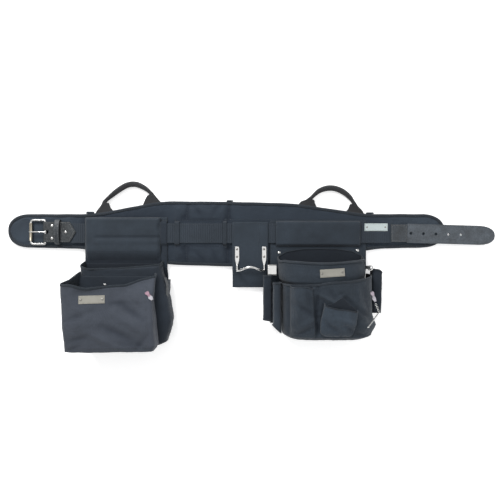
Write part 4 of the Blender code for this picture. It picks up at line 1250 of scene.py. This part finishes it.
def make_left_rear_bag(body):
    sections = ((-0.2825, -0.372, -0.171), (-0.273, -0.377, -0.159), (-0.247, -0.378, -0.151),
                (-0.216, -0.377, -0.145), (-0.176, -0.376, -0.151), (-0.136, -0.3745, -0.16),
                (-0.112, -0.3725, -0.1665), (-0.101, -0.3705, -0.17), (-0.09, -0.3705, -0.17))
    rows = [(y, y, low, high, 0.0146 - sink(y), LEFT_LAYER - 0.0146 + sink(y), LEFT_LAYER - 0.0186 + sink(y),
             0.0, 0.25, 0.2, 1.0) for y, low, high in sections]
    rows.append((-0.077, -0.0893, -0.3705, -0.171, 0.0146, LEFT_LAYER - 0.0146, 0.036, 0.0, 0.25, 0.2, 1.0))

    def plump(point, out):
        side = max(out.x, 0.0) ** 2
        z_share = math.sin(math.pi * min(max((point.z - 0.004) / 0.056, 0.0), 1.0))
        return side * (0.005 * z_share * (1 - blend_in(-0.1, -0.08, point.y)) - 0.002
                       + 0.0022 * ripple(point, 0.022, 7.0))
    bag("left_rear_bag", rows, "cloth_shade", body, ("left_rear_pouch",), corner=0.012, rough=0.0007,
        seed=1.0, shape=plump, folds=((-0.34, -0.1, -0.2, -0.104, 0.004, 0.0006),), whole_hem=False,
        rim_front=((0.0, 0.004), (0.12, -0.002), (0.45, -0.0015), (0.75, 0.002), (1.0, 0.006)))


def make_left_front_bag(body):
    base = LEFT_LAYER + 0.0004
    rows = [(-0.284, -0.284, -0.3875, -0.178, base, 0.054, 0.047, 0.0, 0.2, 0.16, 0.55),
            (-0.272, -0.272, -0.387, -0.173, base, 0.058, 0.05, 0.0, 0.2, 0.16, 0.55),
            (-0.215, -0.215, -0.386, -0.178, base, 0.066, 0.044, -0.004, 0.2, 0.16, 0.55),
            (-0.165, -0.165, -0.378, -0.184, base, 0.068, 0.03, -0.015, 0.2, 0.16, 0.55),
            (-0.108, -0.136, -0.366, -0.18, base, 0.069, 0.008, -0.029, 0.2, 0.16, 0.55)]
    folds = ((-0.374, -0.26, -0.318, -0.244, 0.008, 0.003), (-0.33, -0.236, -0.262, -0.27, 0.008, -0.0044),
             (-0.27, -0.262, -0.196, -0.274, 0.008, 0.0024), (-0.296, -0.222, -0.212, -0.264, 0.009, 0.0046),
             (-0.268, -0.192, -0.204, -0.238, 0.009, -0.0044), (-0.256, -0.172, -0.202, -0.21, 0.008, 0.0044),
             (-0.236, -0.148, -0.2, -0.178, 0.007, -0.0032), (-0.374, -0.208, -0.318, -0.188, 0.009, 0.0026),
             (-0.374, -0.279, -0.345, -0.268, 0.006, 0.0026), (-0.216, -0.28, -0.19, -0.246, 0.007, 0.0024),
             (-0.292, -0.168, -0.236, -0.172, 0.007, 0.0022), (-0.352, -0.178, -0.3, -0.214, 0.01, -0.0022))
    front, rim = bag("left_front_bag", rows, "cloth_pale", body, ("left_front_pouch",), corner=0.0018,
                     folds=folds, rough=0.0013, size=0.04, seed=4.0, steps=84, front=130, hem=0.0034,
                     inside_shade_look="cloth_shade", whole_hem=False, rim_from=0.055, held="left_name_plate",
                     rim_front=((0.0, 0.011), (0.2, 0.0), (0.45, -0.001), (0.63, -0.005), (0.87, 0.0035),
                                (1.0, 0.0085)))
    tree = surface_of(front)
    sew(body, [(-0.378, -0.272, 0), (-0.38, -0.215, 0), (-0.384, -0.165, 0), (-0.3835, -0.15, 0)],
        [(-0.19, -0.272, 0), (-0.193, -0.215, 0), (-0.198, -0.165, 0), (-0.2, -0.13, 0)],
        [(-0.376, -0.274, 0), (-0.3, -0.2765, 0), (-0.192, -0.2745, 0)], tree=tree)
    lip = [point - Vector((0, 0.0075, 0)) for point in rim[14:118:3]]
    sew(body, lip, tree=tree)


def make_left_side_bag(body):
    rows = [(-0.162, -0.162, -0.1622, -0.1548, 0.014, 0.022, 0.02, 0.0, 0.6, 0.5, 1.0),
            (-0.14, -0.14, -0.1622, -0.1524, 0.012, 0.03, 0.028, 0.0, 0.5, 0.4, 1.0),
            (-0.119, -0.119, -0.162, -0.1524, 0.012, 0.032, 0.03, 0.0, 0.5, 0.4, 1.0)]
    bag("left_side_bag", rows, "cloth", body, ("left_side_pocket",), corner=0.003, rough=0.0003, hem=0.0018,
        steps=16, front=30, wall=0.0009, cap=0.001)
    edge = [(-0.156, -0.163, 0.043), (-0.1545, -0.15, 0.044), (-0.155, -0.13, 0.044), (-0.16, -0.112, 0.0425)]
    ribbon("left_side_trim", smooth_path(edge, 8), (0.86, 0, -0.5), 0.003, 0.0006, "strip", body)


def make_plate(node, prefix, body):
    """The CAD's plate, with a raised edge and domed studs."""
    soft_edges(show_as(node, "plate"), 0.0004)
    spot = seat(node)
    corners = [spot @ Vector((x, y, 0.0011))
               for x, y in ((-0.0275, -0.008), (0.0275, -0.008), (0.0275, 0.008), (-0.0275, 0.008))]
    edge = smooth_path(corners, 1, closed=True)
    piece(node + "_edge", *tube(edge, 0.0004, 8, closed=True), "plate", body)
    for number, offset in ((1, -0.024), (2, 0.024)):
        head = dome(spot @ Vector((offset, 0.0, 0.0014)), 0.0027, 0.001, up=spot.col[2].xyz)
        piece(f"{prefix}_{number}_head", *head, "stud", body, (f"{prefix}_{number}",))


def make_tag(node, look, body):
    """A folded woven tag, curled a little and sewn at its upper end."""
    spot = seat(node)
    path, widths = [], []
    for step in range(22):
        share = step / 21
        curl = 0.0016 * math.sin(math.pi * share * 1.6) ** 2
        path.append(spot @ Vector((mix(-0.013, 0.013, share), 0.0, curl + 0.0005)))
        widths.append(0.004 + 0.001 * math.sin(step * 0.55))
    ribbon(node + "_cloth", path, spot.col[1].xyz, widths, 0.00042, look, body, (node,), square=(0.25, 0.25))
    sew(body, [spot @ Vector((-0.0118, side, 0.001)) for side in (-0.004, 0.004)], pitch=0.0022)


# ---------------------------------------------------------------- the hammer holder

def make_hammer_holder():
    body = "hammer_holder"
    low_x, high_x = 0.007, 0.098

    def plate_height(x, y):
        fall = (1 - blend_in(-0.113, -0.088, y)) * 0.0084
        return 0.0214 - fall + 0.0003 * bell(y, 0.02) + 0.00025 * ripple((x, y, 8), 0.02)
    panel("hammer_back_sheet", (low_x + 0.001, high_x - 0.001), (-0.031, 0.028), lambda x, y: 0.0141, "cloth",
          body, ("hammer_tunnel",))
    front = panel("hammer_front_sheet", (low_x, high_x), (-0.139, 0.028), plate_height, "cloth", body,
                  ("hammer_plate",), wall=0.0018, spacing=0.0025)
    for name, y in (("upper", 0.0272), ("lower", -0.0302)):
        route = [(low_x + 0.001, y, 0.016), (high_x - 0.001, y, 0.016)]
        ribbon(f"hammer_{name}_edge", straight(*route, 0.004), (0, 1, 0) if y > 0 else (0, -1, 0), 0.0016,
               0.0036, "binding", body)
    tree = surface_of(front)
    edge = 0.0035
    sew(body, [(low_x + edge, 0.0245, 0), (low_x + edge, -0.1355, 0), (high_x - edge, -0.1355, 0),
               (high_x - edge, 0.0245, 0), (low_x + edge, 0.0245, 0)], tree=tree)
    for x in (0.072, 0.0758):
        sew(body, [(x, 0.026, 0), (x, -0.032, 0)], tree=tree)
    make_hammer_bow(body)
    for number in range(1, 5):
        rivet(f"hammer_rivet_{number}", 0.003, "stud", body)


def make_hammer_bow(body):
    """The steel wire loop, flattened where its two arms are riveted on."""
    tab_z, radius = 0.0218, 0.0026
    tab_x, tab_top, tab_low, arm_end = (0.019, 0.088), -0.034, -0.0755, -0.098
    wire_z = tab_z + radius + 0.0002
    half, middle = (tab_x[1] - tab_x[0]) / 2, sum(tab_x) / 2
    bow = []
    for step in range(1, 24):
        angle = math.pi * step / 24
        out = math.sin(angle)
        bow.append((middle - half * math.cos(angle), arm_end + 0.013 * out - 0.004 * math.sin(2 * angle) ** 2,
                    wire_z + 0.036 * out))
    route = [(tab_x[0], tab_low - 0.004, wire_z), (tab_x[0], -0.086, wire_z),
             (tab_x[0], arm_end + 0.004, wire_z)]
    route += bow + [(tab_x[1], arm_end + 0.004, wire_z), (tab_x[1], -0.086, wire_z),
                    (tab_x[1], tab_low - 0.004, wire_z)]
    parts = [tube(smooth_path(route, 3), radius, 18)]
    for x in tab_x:
        stations = [(tab_low - 0.006, 0.0026, 0.0024), (tab_low - 0.001, 0.0034, 0.0018),
                    (tab_low + 0.005, 0.0052, 0.0012), (tab_low + 0.01, 0.0056, 0.0011),
                    (tab_top - 0.004, 0.0056, 0.0011), (tab_top - 0.0012, 0.005, 0.0011),
                    (tab_top, 0.0036, 0.0009)]
        count = 20
        points = [Vector((x + wide * across, y, tab_z + max(tall, 0.0011) + tall * up))
                  for y, wide, tall in stations for across, up in oval(count, 0.45, 0.6)]
        parts.append((points, bar_faces(len(stations), count, flip=True)))
    piece("hammer_bow", *joined(parts), "nickel", body, ("hammer_loop",))


# ---------------------------------------------------------------- the right pouch

def make_right_pouch():
    body = "right_pouch"
    panel("right_back_sheet", (0.104, 0.35), (-0.232, 0.0325), lambda x, y: BACK_TOP - sink(y) - 0.0001
          + 0.0001 * ripple((x, y, 3), 0.03), "cloth", body, ("right_back_panel",))
    tunnel = panel("right_tunnel_cover", (0.118, 0.334), (-0.034, 0.032), right_tunnel_height, "cloth", body,
                   ("right_tunnel_panel",), spacing=0.0024)
    sew(body, [(0.121, 0.0295, 0), (0.331, 0.0295, 0)], [(0.121, -0.0315, 0), (0.331, -0.0315, 0)],
        [(0.121, 0.0295, 0), (0.121, -0.0315, 0)], [(0.331, 0.0295, 0), (0.331, -0.0315, 0)],
        tree=surface_of(tunnel))
    make_right_main_bag(body)
    make_right_front_bag(body)
    make_right_small_bags(body)
    make_sleeves(body)
    make_plate("right_name_plate", "right_plate_rivet", body)
    make_tag("right_woven_tag", "tag_right", body)
    for node in ("right_corner_rivet_1", "right_corner_rivet_2"):
        rivet(node, 0.0038, "nickel", body)
    make_clips(body)
    make_chain()


def make_right_main_bag(body):
    lift = 0.0172
    rows = []
    sections = ((-0.252, -0.252, 0.148, 0.332, 0.092), (-0.2, -0.2, 0.138, 0.342, 0.1),
                (-0.15, -0.15, 0.137, 0.342, 0.103), (-0.128, -0.128, 0.136, 0.342, 0.106),
                (-0.112, -0.12, 0.126, 0.34, 0.108), (-0.1, -0.108, 0.124, 0.34, 0.108),
                (-0.09, -0.098, 0.124, 0.34, 0.108), (-0.046, -0.073, 0.123, 0.337, 0.108))
    for y, front_y, low, high, height in sections:
        back = lift - sink(y)
        rows.append((y, front_y, low, high, back, height - back, height - back, 0.0, 0.75, 0.6, 1.0))
    main, rim = bag("right_main_bag", rows, "cloth", body, ("right_main_pouch",), corner=0.006, rough=0.0009,
                    seed=9.0, hem=0.0034, folds=((0.15, -0.102, 0.33, -0.106, 0.006, -0.0012),),
                    rim_from=0.045, rim_front=((0.0, -0.013), (0.06, -0.004), (0.2, -0.001), (0.5, -0.002),
                                               (0.8, 0.0), (0.94, -0.002), (1.0, -0.011)),
                    rim_back=((0.0, -0.013), (0.12, 0.0), (0.3, 0.006), (0.5, 0.007), (0.7, 0.006),
                              (0.88, 0.001), (1.0, -0.011)))
    tree = surface_of(main)
    sew(body, [point - Vector((0, 0.0078, 0)) for point in rim[10:101:3]], tree=tree)


def make_right_front_bag(body):
    rows = [(y, y, low, high, FRONT_BACK, height - FRONT_BACK, height - FRONT_BACK, 0.0, FRONT_SQUARE,
             FRONT_SWELL, 1.0) for y, low, high, height in FRONT_ROWS]
    folds = ((0.211, -0.134, 0.208, -0.2, 0.007, 0.0072), (0.208, -0.19, 0.213, -0.252, 0.006, 0.0066),
             (0.224, -0.16, 0.226, -0.24, 0.008, 0.006), (0.209, -0.146, 0.256, -0.17, 0.005, -0.005),
             (0.233, -0.135, 0.256, -0.16, 0.007, 0.0034), (0.266, -0.146, 0.302, -0.182, 0.006, 0.0052),
             (0.27, -0.15, 0.248, -0.17, 0.0045, -0.004), (0.304, -0.184, 0.34, -0.206, 0.007, 0.0044),
             (0.312, -0.216, 0.346, -0.232, 0.007, -0.004), (0.296, -0.238, 0.33, -0.25, 0.006, 0.004),
             (0.204, -0.25, 0.23, -0.24, 0.005, -0.0034), (0.32, -0.136, 0.334, -0.19, 0.007, 0.0034),
             (0.306, -0.128, 0.308, -0.17, 0.005, -0.0026), (0.144, -0.132, 0.145, -0.252, 0.004, 0.0062))
    front, rim = bag("right_front_bag", rows, "cloth", body, ("right_front_pocket",), corner=0.009,
                     folds=folds, rough=0.0013, seed=12.0, hem=0.003, steps=84, front=130, cap=0.003,
                     whole_hem=False, rim_from=0.04,
                     rim_front=((0.0, -0.004), (0.12, -0.006), (0.34, -0.004), (0.5, 0.0015), (0.7, 0.004),
                                (0.88, 0.01), (1.0, 0.016)))
    tree = surface_of(front)
    sew(body, [point - Vector((0, 0.0078, 0)) for point in rim[14:118:3]], tree=tree)


def make_right_small_bags(body):
    rows = [(-0.25, -0.25, 0.15, 0.205, 0.0004, 0.005, 0.005, 0.0, 0.7, 0.6, 1.0),
            (-0.236, -0.236, 0.149, 0.205, 0.0004, 0.009, 0.008, 0.0, 0.7, 0.6, 1.0),
            (-0.19, -0.19, 0.148, 0.201, 0.0004, 0.0104, 0.0084, 0.0, 0.7, 0.6, 1.0),
            (-0.126, -0.132, 0.148, 0.199, 0.0004, 0.0116, 0.0074, 0.0, 0.7, 0.6, 1.0)]
    pleat, _ = bag("right_pleat_bag", rows, "cloth", body, ("right_pleat_pocket",), corner=0.004,
                   rough=0.0012, size=0.022, seed=15.0, hem=0.002, steps=44, front=60, cap=0.001,
                   whole_hem=False, base=front_height,
                   rim_front=((0.0, -0.001), (0.3, 0.002), (0.7, 0.001), (1.0, -0.006)),
                   folds=((0.152, -0.168, 0.208, -0.2, 0.007, 0.0046),
                          (0.16, -0.226, 0.208, -0.204, 0.006, -0.0034),
                          (0.154, -0.246, 0.2, -0.226, 0.006, 0.0042),
                          (0.184, -0.134, 0.196, -0.182, 0.007, 0.0036),
                          (0.16, -0.138, 0.166, -0.21, 0.006, -0.0026)))
    rows = [(-0.246, -0.246, 0.224, 0.29, 0.0004, 0.0064, 0.0054, 0.0, 0.6, 0.5, 1.0),
            (-0.236, -0.236, 0.216, 0.295, 0.0004, 0.0108, 0.0078, 0.0, 0.6, 0.45, 1.0),
            (-0.215, -0.215, 0.216, 0.3, 0.0012, 0.0128, 0.01, 0.0, 0.5, 0.4, 1.0),
            (-0.176, -0.184, 0.225, 0.304, 0.0032, 0.0136, 0.0098, 0.0, 0.4, 0.3, 1.0)]
    patch, _ = bag("right_patch_bag", rows, "cloth_light", body, ("right_patch_pocket",), corner=0.006,
                   rough=0.0014, size=0.024, seed=17.0, hem=0.0022, steps=40, front=64, cap=0.0012,
                   whole_hem=False, rim_from=0.045, base=front_height,
                   rim_front=((0.0, 0.01), (0.5, 0.002), (1.0, -0.007)),
                   rim_back=((0.0, 0.003), (0.25, 0.009), (0.52, 0.0215), (0.8, 0.003), (1.0, -0.012)),
                   folds=((0.224, -0.21, 0.262, -0.24, 0.008, 0.0044),
                          (0.25, -0.202, 0.298, -0.216, 0.006, -0.0034),
                          (0.274, -0.222, 0.298, -0.242, 0.006, 0.0036),
                          (0.24, -0.194, 0.246, -0.226, 0.005, -0.0026)))
    for obj, low, high, y0, y1 in ((pleat, 0.1535, 0.1975, -0.2425, -0.142),
                                   (patch, 0.2265, 0.2905, -0.2385, -0.2)):
        tree = surface_of(obj)
        sew(body, [(low, y1, 0), (low + 0.002, y0, 0), (high - 0.002, y0, 0), (high, y1, 0)], tree=tree)


def sleeve(name, node, low, high, look, body, slant=0.0, seed=0.0, square=0.45, open_low=True, top_slant=0.0,
           taper=0.0):
    """A narrow tube of cloth for a tool, open at the top and often at the bottom."""
    columns, rows = 48, 40
    points = []
    for row in range(rows + 1):
        share = row / rows
        for column in range(columns):
            angle = math.tau * column / columns
            across, up = signed_power(math.cos(angle), square), signed_power(math.sin(angle), square)
            x = mix(low[0], high[0] - taper * (1 - share) ** 2, 0.5 + across / 2)
            z = mix(low[2], high[2], 0.5 + up / 2)
            bottom = low[1] - slant * (0.5 + across / 2)
            y = mix(bottom, high[1] - top_slant * max(across, 0.0) ** 2, share)
            nudge = 0.0006 * ripple((x, y, z), 0.02, seed) * blend_in(0.0, 0.1, share)
            points.append((x + across * nudge, y, z + up * nudge))
    faces = grid_faces(rows + 1, columns, wrap=True, flip=True)
    if not open_low:
        faces.append(tuple(range(columns)))
    obj = solidify(piece(name, points, faces, look, body, (node,)), 0.0016)
    rim = [Vector(point) for point in points[-columns:]]
    piece(name + "_binding", *tube(rim, 0.0026, 10, closed=True, flat=0.42, up=(1, 0, 0)), "binding", body)
    if open_low:
        rim = [Vector(point) for point in points[:columns]]
        piece(name + "_lower_binding", *tube(rim, 0.0022, 10, closed=True, flat=0.42, up=(1, 0, 0)),
              "binding", body)
    return obj


def make_sleeves(body):
    sleeve("tool_sleeve_inner", "tool_sleeve_1", (0.085, -0.216, 0.025), (0.1068, -0.108, 0.052),
           "cloth_shade", body, seed=21.0, slant=0.003)
    sleeve("tool_sleeve_outer", "tool_sleeve_2", (0.108, -0.226, 0.05), (0.1286, -0.125, 0.08), "cloth", body,
           seed=23.0, slant=0.019, square=0.75)
    sleeve("side_sleeve", "right_side_sleeve", (0.3565, -0.2, 0.018), (0.383, -0.092, 0.048), "cloth_shade",
           body, seed=25.0, open_low=False, top_slant=0.008, taper=0.003)


def make_clips(body):
    low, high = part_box("clip_tab")
    middle = (low.x + high.x) / 2
    path = straight((middle, low.y, 0.0232), (middle, high.y, 0.0232), 0.0008)
    ribbon("clip_tab_webbing", path, (1, 0, 0), (high.x - low.x) / 2, 0.0006, "webbing_fine", body,
           ("clip_tab",), ribs=(0.0024, 0.0001))
    leg_low, thick, top = 0.0242, 0.0012, -0.0795
    centre_z, bend = leg_low + 0.004, 0.004
    route = [(0.10825, -0.1028, leg_low + thick / 2)]
    for step in range(13):
        angle = math.radians(-90 + 180 * step / 12)
        route.append((0.10825, top - bend + (bend - thick / 2) * math.cos(angle),
                      centre_z + (bend - thick / 2) * math.sin(angle)))
    route += [(0.10825, -0.104, centre_z + bend - thick / 2),
              (0.10825, -0.106, centre_z + bend - thick / 2 + 0.0008)]
    ribbon("tape_clip_spring", smooth_path(route, 3), (1, 0, 0), 0.01125, 0.0006, "nickel", body,
           ("tape_clip",))
    ring = ring_path((0.35, -0.0875, 0.054), 0.006, 0, 352, 44, "XY")
    piece("chain_ring", *tube(ring, 0.0012, closed=True), "nickel", body, ("chain_clip",))
    strap = [(0.344, -0.086, 0.047), (0.3472, -0.0868, 0.0535), (0.349, -0.0872, 0.056),
             (0.3472, -0.0868, 0.058), (0.3395, -0.0858, 0.05)]
    ribbon("chain_ring_strap", smooth_path(strap, 5), (0.25, 0.97, 0), 0.0042, 0.0006, "strip", body)


def make_chain():
    """The short chain and the toggle at its end."""
    top, toggle_top = Vector((0.3535, -0.1725, 0.0885)), Vector((0.3638, -0.1957, 0.085))
    run = (toggle_top - top).normalized()
    end = toggle_top - run * 0.003
    parts = []
    count = 6
    pitch = (end - top).length / count
    for index in range(count):
        centre = top + run * pitch * (index + 0.5)
        side = run.cross(Vector((0, 0, 1))).normalized()
        if index % 2:
            side = run.cross(side).normalized()
        link = []
        for step in range(22):
            angle = math.tau * step / 22
            link.append(centre + run * pitch * 0.66 * signed_power(math.cos(angle), 0.8)
                        + side * 0.0021 * math.sin(angle))
        parts.append(tube(link, 0.00055, 8, closed=True))
    piece("chain_links", *joined(parts), "nickel", "chain", ("tape_chain",))
    foot = Vector((0.329, -0.2263, 0.1095))
    bar = (foot - end).normalized()
    length = (foot - end).length
    stations = [(0.0, 0.0006), (0.0006, 0.0014), (0.002, 0.0016), (0.004, 0.0015), (0.006, 0.0015),
                (length - 0.006, 0.0015), (length - 0.004, 0.0018), (length - 0.0015, 0.0018),
                (length - 0.0004, 0.0013), (length, 0.0006)]
    piece("toggle_rod", *tube([end + bar * at for at, _ in stations], [radius for _, radius in stations], 16),
          "nickel", "toggle", ("toggle_bar",))


# ---------------------------------------------------------------- the stage

def lamp(name, location, target, size, power):
    data = bpy.data.lights.new(name, "AREA")
    data.energy, data.size = power, size
    made = bpy.data.objects.new(name, data)
    made.location = location
    made.rotation_mode = "QUATERNION"
    made.rotation_quaternion = (Vector(target) - Vector(location)).to_track_quat("-Z", "Y")
    bpy.context.scene.collection.objects.link(made)


def make_stage():
    scene = bpy.context.scene
    scene.view_settings.view_transform = "Standard"
    scene.view_settings.look = "None"
    world = bpy.data.worlds.new("studio")
    world.use_nodes = True
    world.node_tree.nodes["Background"].inputs["Color"].default_value = (1.0, 1.0, 1.0, 1.0)
    world.node_tree.nodes["Background"].inputs["Strength"].default_value = 0.46
    scene.world = world
    tree, shader, coords = principled("floor", 0.9)
    cloud = noise_node(tree, coords, 3.0)
    tint(tree, shader, cloud, (0.93, 0.93, 0.93), (0.95, 0.95, 0.95))
    shader.inputs["Emission Color"].default_value = (1.0, 1.0, 1.0, 1.0)
    shader.inputs["Emission Strength"].default_value = 0.45
    size, rows = 9.0, 12
    points = [(mix(-size, size, column / rows), mix(-size, size, row / rows), -0.0006)
              for row in range(rows + 1) for column in range(rows + 1)]
    piece("floor", points, grid_faces(rows + 1, rows + 1), "floor", None)
    lamp("key", (-0.8, 1.3, 1.3), (0, -0.05, 0), 0.8, 34)
    lamp("fill", (1.5, -0.6, 1.6), (0, -0.05, 0), 1.6, 8)
    lamp("top", (0.1, 0.2, 2.6), (0, -0.05, 0), 2.4, 12)
    camera = bpy.data.cameras.new("camera")
    sensor, height, view_width = 36.0, 1.15, 1.3
    camera.sensor_width, camera.lens = sensor, sensor * height / view_width
    camera.clip_start, camera.clip_end = 0.05, 50.0
    holder = bpy.data.objects.new("camera", camera)
    holder.location = (0.052, -0.043, height)
    scene.collection.objects.link(holder)
    scene.camera = holder


make_stage()
make_looks()
make_pad()
make_webbing()
make_buckle()
make_keeper()
make_tongue()
make_handle("left_handle", "left_grip_webbing", (-0.324, -0.202), LEFT_GRIP, "left_grip")
make_handle("right_handle", "right_grip_webbing", (0.201, 0.323), RIGHT_GRIP, "right_grip")
make_left_pouch()
make_hammer_holder()
make_right_pouch()
finish_stitching()
